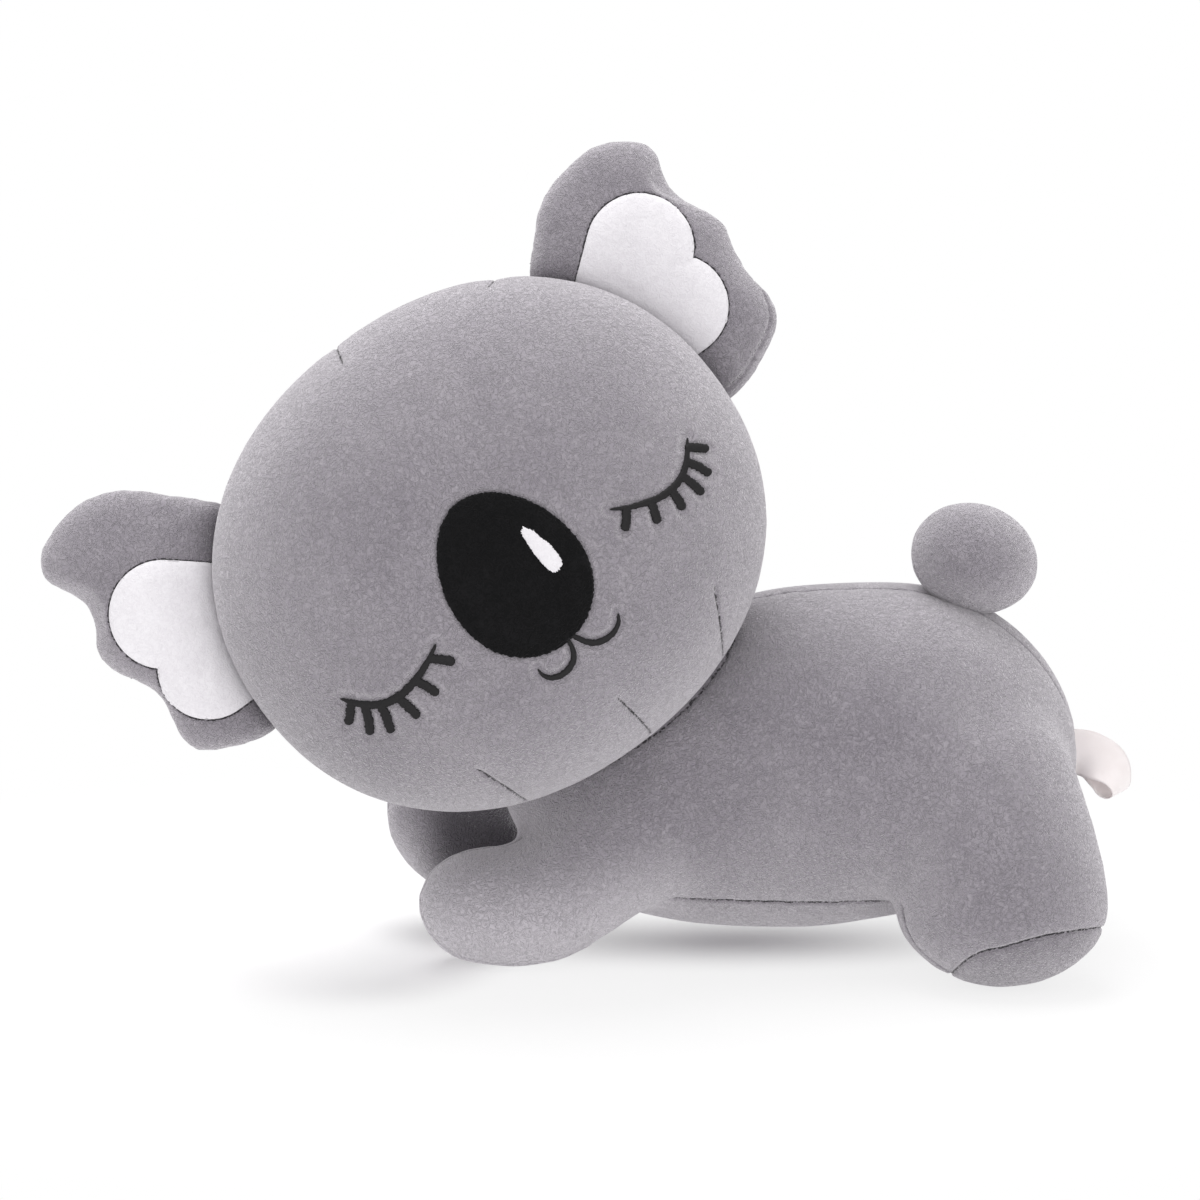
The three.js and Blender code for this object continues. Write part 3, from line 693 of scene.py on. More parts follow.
def head_share(points):
    """How far out points of the head's frame are: 1 on its surface, less inside."""
    x, y, z = (np.abs(points) / np.array(HEAD_HALF)).T
    outline = (x**HEAD_OUTLINE_POWER + z**HEAD_OUTLINE_POWER) ** (1 / HEAD_OUTLINE_POWER)
    return (outline**HEAD_PROFILE_POWER + y**HEAD_PROFILE_POWER) ** (1 / HEAD_PROFILE_POWER)


def nearest_to(trees, points):
    found = [[tree.find_nearest(Vector(point))[3] for point in points] for tree in trees]
    return np.array(found)


def over_sole(points):
    """How far points are above the line of a foot's sole seam."""
    x, z = evenly(SOLE_LINE, 60).T
    slope = np.interp(points[:, 0], x, np.gradient(z, x))
    line = np.interp(points[:, 0], x, z) + SOLE_SLOPE * (np.abs(points[:, 1]) - SOLE_LINE_OUT)
    return (points[:, 2] - line) / np.sqrt(1 + slope**2)


def off_spine(points):
    """How far points are from the seam along the back, which strays over the rump."""
    rump = smooth_step(points[:, 0], *RUMP_ALONG) * smooth_step(points[:, 2], *RUMP_UP)
    return points[:, 1] + SPINE_SHIFT * rump


def off_head_by(head):
    """A function that gives how far points of the body's frame are outside the head's skin."""
    tree = tree_of(head, BODY)
    to_head = HEAD.inverted() @ BODY

    def off_head(points):
        share = head_share(seen_from(to_head.inverted(), points))
        away = np.where(share < 1, -FAR_OFF, FAR_OFF)
        for i in np.nonzero(np.abs(share - 1) < NEAR_HEAD)[0]:
            point = Vector(points[i])
            place, normal, _, distance = tree.find_nearest(point)
            away[i] = math.copysign(distance, (point - place).dot(normal))
        return away

    return off_head


def body_seams(on_torso, on_limb, off_head):
    """The seams of the body. on_torso and on_limb say how clearly a point is on each."""

    def on_arm(points):
        x = points[:, 0]
        return on_limb(points) * (x < LIMBS_PART) * (1 - smooth_step(x, *ARM_SEAM_END))

    def on_leg(points, side):
        x, y, z = points.T
        return (
            on_limb(points) * (x > LIMBS_PART) * (side * y > 0) * (over_sole(points) > 0)
            * (1 - smooth_step(z, *LEG_SEAM_TOP)) * (1 - smooth_step(x, *LEG_SEAM_END))
        )

    seams = [
        (lambda p: off_head(p) - NECK_SEAM_OFF, everywhere),
        (off_spine, lambda p: (p[:, 2] > BELLY_SEAM_HEIGHT) * 1.0),
        plane_seam((0, 0, BELLY_SEAM_HEIGHT), (0, 0, 1), on_torso),
        (over_sole, lambda p: on_limb(p) * (p[:, 0] > LIMBS_PART)),
    ]
    for side in (LEFT, RIGHT):
        seams += [
            plane_seam((0, side * ARM_SEAM, 0), (0, side, ARM_SEAM_LEAN), on_arm),
            plane_seam((0, side * LEG_SEAM, 0), (0, side, LEG_SEAM_LEAN), partial(on_leg, side=side)),
        ]
    return seams


def join_forms(forms):
    """One piece of all the forms, which still run through each other."""
    whole = bmesh.new()
    for name, form in forms.items():
        bmesh.ops.recalc_face_normals(form, faces=form.faces)
        loose = bpy.data.meshes.new(name)
        form.to_mesh(loose)
        form.free()
        whole.from_mesh(loose)
        bpy.data.meshes.remove(loose)
    return piece_of("plush_body", whole, BODY)


def fill_body(body):
    """Makes one skin, fills the hollows at its joints, stuffs it and lets it down on the floor."""
    remesh(body, VOXEL)
    relax(body.data, EVENED["body"])
    local = seen_from(BODY, places(body.data))
    beside = smooth_step(np.abs(local[:, 1]), *JOINT_BESIDE)
    outside = smooth_step(local[:, 2], *JOINT_ABOVE) * beside
    relax(body.data, JOINT_ROUNDS, outside, hollows_only=True)
    relax(body.data, EVENED["joints"])
    draw_in(body, BODY_DRAWN_IN)
    inside = head_share(seen_from(HEAD, places(body.data))) < INSIDE_HEAD
    stuff(body, *STUFFING["body"], inside)
    subdivide(body)
    settle(body)


def parts_of_skin(body, trees):
    """Two functions of points: how clearly the skin there is the torso's, and a limb's."""
    local = seen_from(BODY, places(body.data))
    near = nearest_to(trees, local)
    torso_ahead = near[1:].min(0) - near[0]
    faces = [tuple(face.vertices) for face in body.data.polygons]
    tree = BVHTree.FromPolygons([tuple(point) for point in local], faces)

    def read_from(values):
        return lambda points: np.array(
            [values[faces[tree.find_nearest(Vector(point))[2]][0]] for point in points]
        )

    on_torso = read_from(smooth_step(torso_ahead, *ON_TORSO))
    on_limb = read_from(smooth_step(-torso_ahead, *ON_LIMB))
    return on_torso, on_limb


def make_body(off_head):
    forms = body_forms()
    trees = [BVHTree.FromBMesh(form) for form in forms.values()]
    body = join_forms(forms)
    fill_body(body)
    on_torso, on_limb = parts_of_skin(body, trees)
    seams = body_seams(on_torso, on_limb, off_head)
    cut_seams(body, BODY, seams)
    press_seams(body, BODY, seams)
    settle(body)
    mark_body(body, on_limb, off_head)
    return body


def mark_body(body, on_limb, off_head):
    """Marks the shade painted under the head, beside it, and on the soles, and the light from the floor
    painted low on the paws.
    """
    local = seen_from(BODY, places(body.data))
    x, _, z = local.T
    # Painted shade in the crevice beside the head
    crevice = CREVICE_SHADE * np.exp(-np.maximum(off_head(local), 0) / CREVICE_WIDTH)
    # Painted shade on the soles
    under_foot = SOLE_SHADE * on_limb(local) * (x > LIMBS_PART) * (over_sole(local) < 0)
    hollow = painted_hollow_shade(local, facing(body.data))
    mark(body.data, "hollow", np.maximum.reduce([hollow, crevice, under_foot]))
    # Light from the floor painted low on the paws
    low = (1 - smooth_step(x, *PAWS_BEFORE)) * (1 - smooth_step(z, *PAWS_BELOW))
    mark(body.data, "brushed_up", PAINTED_FLOOR_LIGHT * low)


def painted_hollow_shade(points, normals):
    """How deep points lie in the gap under the head, between the chest and the right arm: the share of
    shade painted there.
    """
    depth = smooth_step(-normals[:, 1], *HOLLOW_FACES)
    for axis, edge in enumerate(HOLLOW_STARTS):
        depth = depth * smooth_step(points[:, axis], *edge)
    for axis, edge in enumerate(HOLLOW_ENDS):
        depth = depth * (1 - smooth_step(points[:, axis], *edge))
    return depth


def settle(piece):
    """Lets a piece down on the floor, which flattens it where it rests."""
    co = places(piece.data)
    drop = co[:, 2].min() + FLOOR_SINK * MM
    co[:, 2] -= drop * np.clip(1 - co[:, 2] / (SETTLE_REACH * MM), 0, 1)
    co[:, 2] = np.maximum(co[:, 2], 0)
    put(piece.data, co)


# Head

def make_head():
    shape = bmesh.new()

    def place(turn, share):
        latitude = math.pi * share
        wide = max(0, math.sin(latitude)) ** (2 / HEAD_PROFILE_POWER)
        deep = abs(math.cos(latitude)) ** (2 / HEAD_PROFILE_POWER)
        x, z = superellipse(math.tau * turn, HEAD_HALF[0], HEAD_HALF[2], HEAD_OUTLINE_POWER)
        return Vector((x * wide, -math.copysign(deep, math.cos(latitude)) * HEAD_HALF[1], z * wide))

    add_form(shape, *HEAD_MESH, place)
    head = piece_of("plush_head", shape, HEAD)
    remesh(head, VOXEL)
    relax(head.data, EVENED["head"])
    draw_in(head, HEAD_DRAWN_IN)
    stuff(head, *STUFFING["head"])
    subdivide(head)
    return head


def rim_seam():
    slant = math.radians(RIM_SEAM_SLANT)
    return plane_seam((0, RIM_SEAM_SETBACK, 0), (0, -math.cos(slant), math.sin(slant)))


def dart_seam(tip, end):
    """A dart's plane runs straight back from its line on the face."""
    run = Vector(end) - Vector(tip)
    length = run.length
    ahead = np.array(run.normalized())
    before_rim = rim_seam()[0]

    def shows(p):
        along = (p[:, [0, 2]] - np.array(tip)) @ ahead
        starts = smooth_step(along, -1, length * DART_FADE)
        return starts * (along < length + DART_REACH) * (before_rim(p) > 0)

    return plane_seam((tip[0], 0, tip[1]), (run.y, 0, -run.x), shows)


def sew_head(head):
    seams = [rim_seam()] + [dart_seam(*dart) for dart in DARTS]
    cut_seams(head, HEAD, seams)
    press_seams(head, HEAD, seams)


def face_reader(head):
    """A function that gives the head's surface and its normal at a place across and up the face."""
    tree = tree_of(head, HEAD)

    def read(x, z):
        point, normal, _, _ = tree.ray_cast(Vector((x, -BEFORE_FACE, z)), Vector((0, 1, 0)))
        return point, normal

    return read


# Face

def raise_from_face(read, x, z, lift):
    point, normal = read(x, z)
    return point + normal * lift


def add_stitched(shape, read, line, half_width, ends, ragged=RAGGED):
    """Adds a raised bar of satin stitch along a line. ends(share) gives its width's share."""
    line = np.asarray(line)
    run = np.gradient(line, axis=0)
    run /= np.linalg.norm(run, axis=1, keepdims=True)
    rings = len(line)
    steps = np.linspace(0, 1, rings)
    random = np.random.default_rng(rings + int(abs(line[0, 0]) * 10))
    rough = 1 + ragged * (random.random((2, rings + 1)) - 0.5) * 2

    def place(turn, share):
        x, z = (np.interp(share, steps, line[:, k]) for k in range(2))
        tx, tz = (np.interp(share, steps, run[:, k]) for k in range(2))
        angle = math.tau * turn
        side = int(math.cos(angle) > 0)
        wide = half_width * ends(share) * rough[side, round(share * rings)] * math.cos(angle)
        lift = THREAD_LIFT * min(1, 1.4 * ends(share)) * math.sin(angle)
        return raise_from_face(read, x - tz * wide, z + tx * wide, lift)

    add_form(shape, THREAD_SIDES, rings, place)


def tapered(share):
    return max(0, math.sin(math.pi * share)) ** 0.45


def blunt(share):
    """Rounded at both ends, on a bar about three times as long as it is wide."""
    edge = min(share, 1 - share) / 0.16
    return 1 if edge >= 1 else math.sqrt(max(0, 1 - (1 - edge) ** 2))


def eye_lines(side, name):
    """The arc of a closed eye, then its lashes, each a line of points."""
    eye = EYES[name]
    right, up = eye["shift"]
    arc = evenly([(side * (x + right), z + up) for x, z in EYE_ARC], ARC_POINTS)
    lines = [arc]
    for place, length, splay in zip(LASH_PLACES, eye["lengths"], eye["splay"]):
        root = arc[round(place * (ARC_POINTS - 1))]
        angle = math.radians(splay)
        ahead = np.array((side * math.sin(angle), -math.cos(angle)))
        start, end = root - ahead * LASH_ROOT, root + ahead * length
        bow = np.array((-ahead[1], ahead[0])) * LASH_BOW
        lines.append(np.array([
            start + (end - start) * t + bow * math.sin(math.pi * t)
            for t in np.linspace(0, 1, LASH_POINTS)
        ]))
    return lines


def mouth_lines():
    return [evenly(arc, MOUTH_POINTS) for arc in MOUTH_ARCS]


def make_eye(side, name, read):
    shape = bmesh.new()
    arc, *lashes = eye_lines(side, name)
    add_stitched(shape, read, arc, EYES[name]["width"] / 2, tapered)
    for lash in lashes:
        add_stitched(shape, read, lash, LASH_WIDTH / 2, blunt, LASH_RAGGED)
    return piece_of(name + "_eye_embroidery", shape, HEAD)


def make_mouth(read):
    shape = bmesh.new()
    for line in mouth_lines():
        add_stitched(shape, read, line, MOUTH_WIDTH / 2, tapered)
    return piece_of("mouth_embroidery", shape, HEAD)


def nose_edge(turn):
    angle = math.tau * turn
    up = math.sin(angle)
    place = Vector((NOSE_HALF[0] * math.cos(angle) * (1 - NOSE_EGG * up), NOSE_HALF[1] * up))
    place.rotate(Matrix.Rotation(math.radians(NOSE_TILT), 2))
    return place.x + NOSE_CENTRE[0], place.y + NOSE_CENTRE[1]


def add_patch(shape, read, outline, centre, depth, height, mesh):
    """Adds a flat patch with a rounded edge on the face, from a depth in it to a height over it."""
    def place(turn, share):
        latitude = math.pi * share
        wide = math.sin(latitude) ** 0.5 if 0 < share < 1 else 0
        x, z = outline(turn)
        x = centre[0] + (x - centre[0]) * wide
        z = centre[1] + (z - centre[1]) * wide
        over = math.cos(latitude)
        return raise_from_face(read, x, z, height * over**0.5 if over > 0 else depth * over)

    add_form(shape, *mesh, place)


def frayed(outline, centre, sides, fray, seed):
    """An outline whose points stray in and out at random, as cut or stitched pile does."""
    stray = 1 + fray * (np.random.default_rng(seed).random(sides + 1) - 0.5) * 2
    stray[-1] = stray[0]

    def strayed(turn):
        x, z = outline(turn)
        out = stray[round(turn * sides)]
        return centre[0] + (x - centre[0]) * out, centre[1] + (z - centre[1]) * out

    return strayed


def make_nose(read):
    shape = bmesh.new()
    edge = frayed(nose_edge, NOSE_CENTRE, NOSE_MESH[0], NOSE_FRAY, seed=3)
    add_patch(shape, read, edge, NOSE_CENTRE, NOSE_ROOT, NOSE_THICK, NOSE_MESH)
    return piece_of("nose_plush", shape, HEAD)


def make_glint(read):
    """The highlight's patch: a drop, pointed above and widest low down on its outer side."""
    shape = bmesh.new()
    sides = GLINT_MESH[0]
    line = evenly(GLINT_EDGE + [GLINT_EDGE[0]], sides + 1)
    edge = frayed(lambda turn: line[round(turn * sides)], GLINT_CENTRE, sides, GLINT_FRAY, seed=5)
    depth = GLINT_ROOT - NOSE_THICK
    add_patch(shape, read, edge, GLINT_CENTRE, depth, NOSE_THICK + GLINT_LIFT, GLINT_MESH)
    return piece_of("glint_patch", shape, HEAD)


def on_face(points):
    """Points' places across and up the face, and which of them are on its front."""
    local = seen_from(HEAD, points)
    return local[:, [0, 2]], local[:, 1] < 0


def cut_finer(head, lines):
    """Cuts the cloth finer near lines on the face."""
    shape = bmesh.new()
    shape.from_mesh(head.data)
    for reach in FINER_NEAR:
        faces = list(shape.faces)
        flat, front = on_face(np.array([face.calc_center_median() for face in faces]))
        near = np.full(len(faces), 1e9)
        for line in lines:
            near[front] = np.minimum(near[front], distance_to(line[::3], flat[front]))
        edges = {edge for face, d in zip(faces, near) if d < reach for edge in face.edges}
        bmesh.ops.subdivide_edges(shape, edges=list(edges), cuts=1, use_grid_fill=True)
    shape.to_mesh(head.data)
    shape.free()


def press_face(head):
    """Sinks the cloth under the embroidery and beside the nose, and marks the pile round them."""
    stitched = eye_lines(1, "left") + eye_lines(-1, "right") + mouth_lines()
    rim = np.array([nose_edge(i / RIM_POINTS) for i in range(RIM_POINTS + 1)])
    cut_finer(head, stitched + [rim])
    mesh = head.data
    co = places(mesh)
    flat, front = on_face(co)
    sink = np.zeros(len(co))
    halo = np.zeros(len(co))
    for line, half in [(line, STITCH_HALF) for line in stitched] + [(rim, 0)]:
        away = distance_to(line, flat) - half
        dip = np.exp(-(np.maximum(away, 0) / STITCH_SINK_WIDTH) ** 2)
        sink = np.maximum(sink, STITCH_SINK * dip)
        halo = np.maximum(halo, np.exp(-((away - HALO_OFF) / HALO_WIDTH) ** 2))
    put(mesh, co - facing(mesh) * (sink * front)[:, None] * MM)
    mark(mesh, "halo", halo * front)
    # Painted shade, darker towards the chin
    x, _, z = ((seen_from(BODY, co) - np.array(HEAD_CENTRE)) / HEAD_HALF[2]).T
    ahead, down = CHIN_DOWN
    mark(mesh, "hollow", CHIN_SHADE * smooth_step(-ahead * x - down * z, *CHIN_FROM))


# Ears

def ear_outline(name):
    """The ear's closed outline: its lobes, then its root, let into the head."""
    seat = ear_seat(EAR_ANGLE)
    first, last = EAR_ROOT_TURN
    root = []
    for turn in np.linspace(first, last, EAR_ROOT_POINTS):
        point = ear_seat(EAR_ANGLE + turn) - seat
        point.rotate(Matrix.Rotation(-math.radians(EAR_ANGLE), 2))
        root.append((point.x - EAR_ROOT_DEPTH, point.y))
    return evenly(EAR_EDGE[name] + root + [EAR_EDGE[name][0]], EAR_POINTS + 1)


def heart_distance(flat, side):
    """How far 2-D points of the ear's frame lie outside the white heart, negative inside."""
    shift = np.array((0, HEART_SHIFT * side))
    crown, chin = (np.array(lobe[:2]) + shift for lobe in (HEART_CROWN_LOBE, HEART_CHIN_LOBE))
    narrows = math.radians(90 + HEART_NARROWS)
    flank = np.array((math.cos(narrows), math.sin(narrows)))
    low = chin + flank * (1, -1) * HEART_CHIN_LOBE[2]
    high = crown + flank * HEART_CROWN_LOBE[2]
    between = (high - low) / np.linalg.norm(high - low)
    lobes = np.minimum(
        np.linalg.norm(flat - crown, axis=1) - HEART_CROWN_LOBE[2],
        np.linalg.norm(flat - chin, axis=1) - HEART_CHIN_LOBE[2],
    )
    point = np.maximum.reduce([
        (flat - crown) @ flank - HEART_CROWN_LOBE[2],
        (flat - chin) @ (flank * (1, -1)) - HEART_CHIN_LOBE[2],
        (flat - low) @ np.array((between[1], -between[0])),
    ])
    return np.minimum(lobes, point)


def make_ear_skin(matrix, name):
    """An ear's two panels as one stuffed skin, thin at its outline and full in the middle."""
    outline = ear_outline(name)
    shape = bmesh.new()
    centre = np.array(EAR_CENTRE)

    def place(turn, share):
        latitude = math.pi * share
        edge = outline[round((1 - turn) * EAR_POINTS)]
        x, z = centre + (edge - centre) * max(0, math.sin(latitude))
        return Vector((x, -math.copysign(1, math.cos(latitude)), z))

    verts = add_form(shape, EAR_POINTS, EAR_RINGS, place)
    inwards = distance_to(outline, np.array([(vert.co.x, vert.co.z) for vert in verts]))
    for vert, away in zip(verts, inwards):
        share = min(1, away / EAR_ROUND)
        vert.co.y *= EAR_HALF_DEPTH * math.sqrt(1 - (1 - share) ** 2)
    ear = piece_of(name + "_ear_plush", shape, matrix)
    remesh(ear, EAR_VOXEL)
    relax(ear.data, EVENED["ear"])
    root = seen_from(matrix, places(ear.data))[:, 0] < EAR_HELD
    stuff(ear, *STUFFING["ear"], root)
    subdivide(ear)
    return ear


def off_ear_edge(points, stray):
    """How far points are behind an ear's edge seam."""
    return points[:, 1] + stray * smooth_step(-points[:, 2], *EAR_STRAY_FROM)


def make_ear(side, name, off_head):
    """An ear and its white lining, with its seams and the shade beside the head."""
    matrix = ear_frame(side)
    ear = make_ear_skin(matrix, name)
    off_edge = partial(off_ear_edge, stray=EAR_EDGE_STRAY[name])
    edge_seam = [(off_edge, everywhere)]
    cut_seams(ear, matrix, edge_seam)
    lining = let_in_heart(ear, matrix, side, name)
    press_seams(ear, matrix, edge_seam, EAR_SEAM_DEPTH, EAR_SEAM_PULL)
    local = seen_from(matrix, places(ear.data))
    beyond, half = HEART_LINE
    heart = heart_distance(local[:, [0, 2]], side) - beyond
    heart_line = line_on(heart, half) * (local[:, 1] < 0)
    dark, half = EAR_LINE
    mark(ear.data, "seam", np.maximum(heart_line, dark * line_on(off_edge(local), half)))
    # Painted shade on the ear and its lining beside the head
    for piece, shade in ((ear, EAR_CREVICE_SHADE), (lining, LINING_CREVICE_SHADE)):
        off = np.maximum(off_head(seen_from(BODY, places(piece.data))), 0)
        mark(piece.data, "hollow", shade * np.exp(-off / EAR_CREVICE_WIDTH))
    return ear, lining


def let_in_heart(ear, matrix, side, name):
    """Cuts the heart's outline into an ear's front, sinks the cloth in it, and lays the lining there."""
    shape = bmesh.new()
    shape.from_mesh(ear.data)

    def off_heart(points):
        local = seen_from(matrix, points)
        return np.where(local[:, 1] < 0, heart_distance(local[:, [0, 2]], side), FAR_OFF)

    away = off_heart(np.array([vert.co for vert in shape.verts]))
    cut_lines(shape, away, np.abs(away) < SEAM_REACH, HEART_STEPS)
    shape.normal_update()
    lining = shape.copy()
    heart = off_heart(np.array([vert.co for vert in shape.verts]))
    puff, puff_width = LINING_PUFF
    tuck, tuck_width = LINING_TUCK
    roll, roll_width = HEART_ROLL
    swell = puff * smooth_step(-heart, 0, puff_width)
    swell -= tuck * (1 - smooth_step(-heart, HEART_EDGE, tuck_width))
    beside = roll * (1 - smooth_step(heart, HEART_EDGE, roll_width))
    sunk = np.where(heart < HEART_EDGE, HEART_SUNK, beside)
    for i, vert in enumerate(shape.verts):
        vert.co -= vert.normal * sunk[i] * MM
    for i, vert in enumerate(lining.verts):
        vert.co += vert.normal * swell[i] * MM
    shape.to_mesh(ear.data)
    shape.free()
    ear.data.shade_smooth()
    middles = off_heart(np.array([face.calc_center_median() for face in lining.faces]))
    outer = [face for face, middle in zip(lining.faces, middles) if middle > LINING_OUTSIDE]
    bmesh.ops.delete(lining, geom=outer, context="FACES")
    lining.normal_update()
    backs = list(lining.verts)
    bmesh.ops.extrude_face_region(lining, geom=list(lining.faces), use_keep_orig=True)
    for vert in backs:
        vert.co -= vert.normal * LINING_THICK * MM
    return piece_of(name + "_ear_lining", lining)


# Tail

def make_tail():
    shape = bmesh.new()

    def place(turn, share):
        latitude = math.pi * share
        angle = math.tau * turn
        folds = 1 + sum(deep * math.sin(many * angle + start) for many, deep, start in TAIL_FOLDS)
        wide = math.sin(latitude) * (1 - TAIL_GATHERS * smooth_step(share, *TAIL_GATHERED) * folds)
        out = Vector((wide * math.cos(angle), wide * math.sin(angle), math.cos(latitude)))
        full = 1 - TAIL_LEAN * out.x * out.z
        return Vector(TAIL_CENTRE) + out * Vector(TAIL_HALF) * full

    add_form(shape, *TAIL_MESH, place)
    tail = piece_of("tail_plush", shape, BODY)
    remesh(tail, TAIL_VOXEL)
    relax(tail.data, EVENED["tail"])
    stuff(tail, *STUFFING["tail"])
    subdivide(tail)
    mark(tail.data, "seam", np.zeros(len(tail.data.vertices)))
    return tail


# Label

def bent_path(along, length, droop):
    """Where a tape that starts level is, and how far it has turned down, when it bends evenly."""
    bend = droop * along / length
    radius = length / droop
    return Vector((radius * math.sin(bend), 0, radius * (math.cos(bend) - 1))), bend


def along_label(share):
    """How far out from its seam the tape is, and how far from the loop's middle.

    The share runs from 0 at its fold to 1 or -1 at the cut ends of its two layers.
    """
    flat_half = LABEL_LENGTH + LABEL_ROOT
    run = flat_half * (1 - abs(share))
    straight = flat_half - math.pi / 2 * LABEL_LOOP_HALF
    if run < straight:
        along = run - LABEL_ROOT
        spread = smooth_step(along, 0, LABEL_LENGTH * LABEL_OPEN)
        return along, LABEL_CLOSED + (LABEL_LOOP_HALF - LABEL_CLOSED) * spread
    angle = (run - straight) / LABEL_LOOP_HALF
    along = straight - LABEL_ROOT + LABEL_LOOP_HALF * math.sin(angle)
    return along, LABEL_LOOP_HALF * math.cos(angle)


def label_place(share, width):
    """The place of a point of the tape, by its share from the fold and its place across."""
    along, layer = along_label(share)
    out = max(0, along)
    middle, bend = bent_path(out, LABEL_LENGTH, math.radians(LABEL_DROOP))
    middle.x += min(0, along)
    twist = math.radians(LABEL_TWIST) * smooth_step(out / LABEL_LENGTH, *LABEL_TWISTS)
    up = Vector((math.sin(bend), 0, math.cos(bend)))
    to_right = Vector((0, 1, 0))
    width_way = up * math.cos(twist) + to_right * math.sin(twist)
    layer_way = to_right * -math.cos(twist) + up * math.sin(twist)
    apart = layer_way * math.copysign(layer, share)
    return Vector(LABEL_SEAT) + middle + width_way * width + apart


def make_label():
    """A looped tape, flat at its seam, then drooping and turning so that its folded end opens."""
    shape = bmesh.new()
    along, across = LABEL_MESH
    bmesh.ops.create_grid(shape, x_segments=along, y_segments=across, size=1)
    for vert in shape.verts:
        vert.co = label_place(vert.co.x, vert.co.y * LABEL_WIDTH / 2)
    label = piece_of("label_tape", shape, BODY)
    step = label.modifiers.new("thickness", "SOLIDIFY")
    step.thickness = LABEL_THICK * MM
    step.offset = 0
    apply_modifiers(label)
    return label


# Materials

class Wire:
    """A socket of a material, so that sums on sockets are written as sums."""

    def __init__(self, finish, socket):
        self.finish = finish
        self.socket = socket

    def math(self, operation, first, second=None):
        values = {0: first} if second is None else {0: first, 1: second}
        return self.finish.node("Math", {"operation": operation}, values)

    def __add__(self, other):
        return self.math("ADD", self, other)

    def __radd__(self, other):
        return self.math("ADD", other, self)

    def __sub__(self, other):
        return self.math("SUBTRACT", self, other)

    def __rsub__(self, other):
        return self.math("SUBTRACT", other, self)

    def __mul__(self, other):
        return self.math("MULTIPLY", self, other)

    def __rmul__(self, other):
        return self.math("MULTIPLY", other, self)

    def __abs__(self):
        return self.math("ABSOLUTE", self)

    def kept(self):
        """Kept between 0 and 1."""
        return self.finish.node("Clamp", {}, {"Value": self})


class Finish:
    """A material and its nodes."""

    def __init__(self, name):
        self.material = bpy.data.materials.new(name)
        self.material.use_nodes = True
        self.tree = self.material.node_tree
        self.tree.nodes.clear()

    def node(self, kind, settings, sockets, output=0):
        made = self.tree.nodes.new("ShaderNode" + kind)
        for key, value in settings.items():
            if key == "stops":
                self.set_stops(made.color_ramp, value)
            else:
                setattr(made, key, value)
        for key, value in sockets.items():
            if isinstance(value, Wire):
                self.tree.links.new(value.socket, made.inputs[key])
            else:
                made.inputs[key].default_value = value
        return Wire(self, made.outputs[output]) if len(made.outputs) else None

    def set_stops(self, ramp, stops):
        while len(ramp.elements) < len(stops):
            ramp.elements.new(0.5)
        for element, (position, colour) in zip(ramp.elements, stops):
            element.position = position
            element.color = (*colour, 1)

    def mixed(self, share, first, second, kind="MIX"):
        """Between two colours, which are sockets or numbers."""
        values = [value if isinstance(value, Wire) else (*value, 1) for value in (first, second)]
        return self.node(
            "Mix", {"data_type": "RGBA", "blend_type": kind},
            {0: share, 6: values[0], 7: values[1]}, 2,
        )

    def noise(self, place, scale, detail=2.0, distortion=0.0):
        return self.node(
            "TexNoise", {},
            {"Vector": place, "Scale": scale, "Detail": detail, "Distortion": distortion}, "Fac",
        )

    def attribute(self, name):
        return self.node("Attribute", {"attribute_name": name}, {}, "Fac")

    def object_place(self):
        return self.node("TexCoord", {}, {}, "Object")

    def end(self, shader):
        self.node("OutputMaterial", {}, {"Surface": shader})
        return self.material


def linear(*srgb):
    """A colour that is written as it looks, from 0 to 255, in the renderer's own numbers."""
    return tuple(
        (v / 255 / 12.92) if v <= 10 else ((v / 255 + 0.055) / 1.055) ** 2.4 for v in srgb
    )


def darker(colour, share):
    return tuple(value * share for value in colour)


def pile_shader(finish, shade, bump, roughness, specular, sheen):
    return finish.node("BsdfPrincipled", {}, {
        "Base Color": shade, "Roughness": roughness, "Normal": bump,
        "Specular IOR Level": specular, "Sheen Weight": sheen, "Sheen Roughness": 0.35,
        "Sheen Tint": (1, 0.98, 1, 1),
    }, "BSDF")


def add_bump(finish, height, strength, relief):
    return finish.node(
        "Bump", {}, {"Strength": strength, "Distance": relief, "Height": height}, "Normal"
    )


def seam_line(finish, place):
    """The dark thread of the seams, which shows and hides from stitch to stitch."""
    stitches = finish.noise(place, STITCH_SCALE, 1.0)
    return ((finish.attribute("seam") * (stitches * 2.4 - 0.4) - 0.28) * 4).kept()


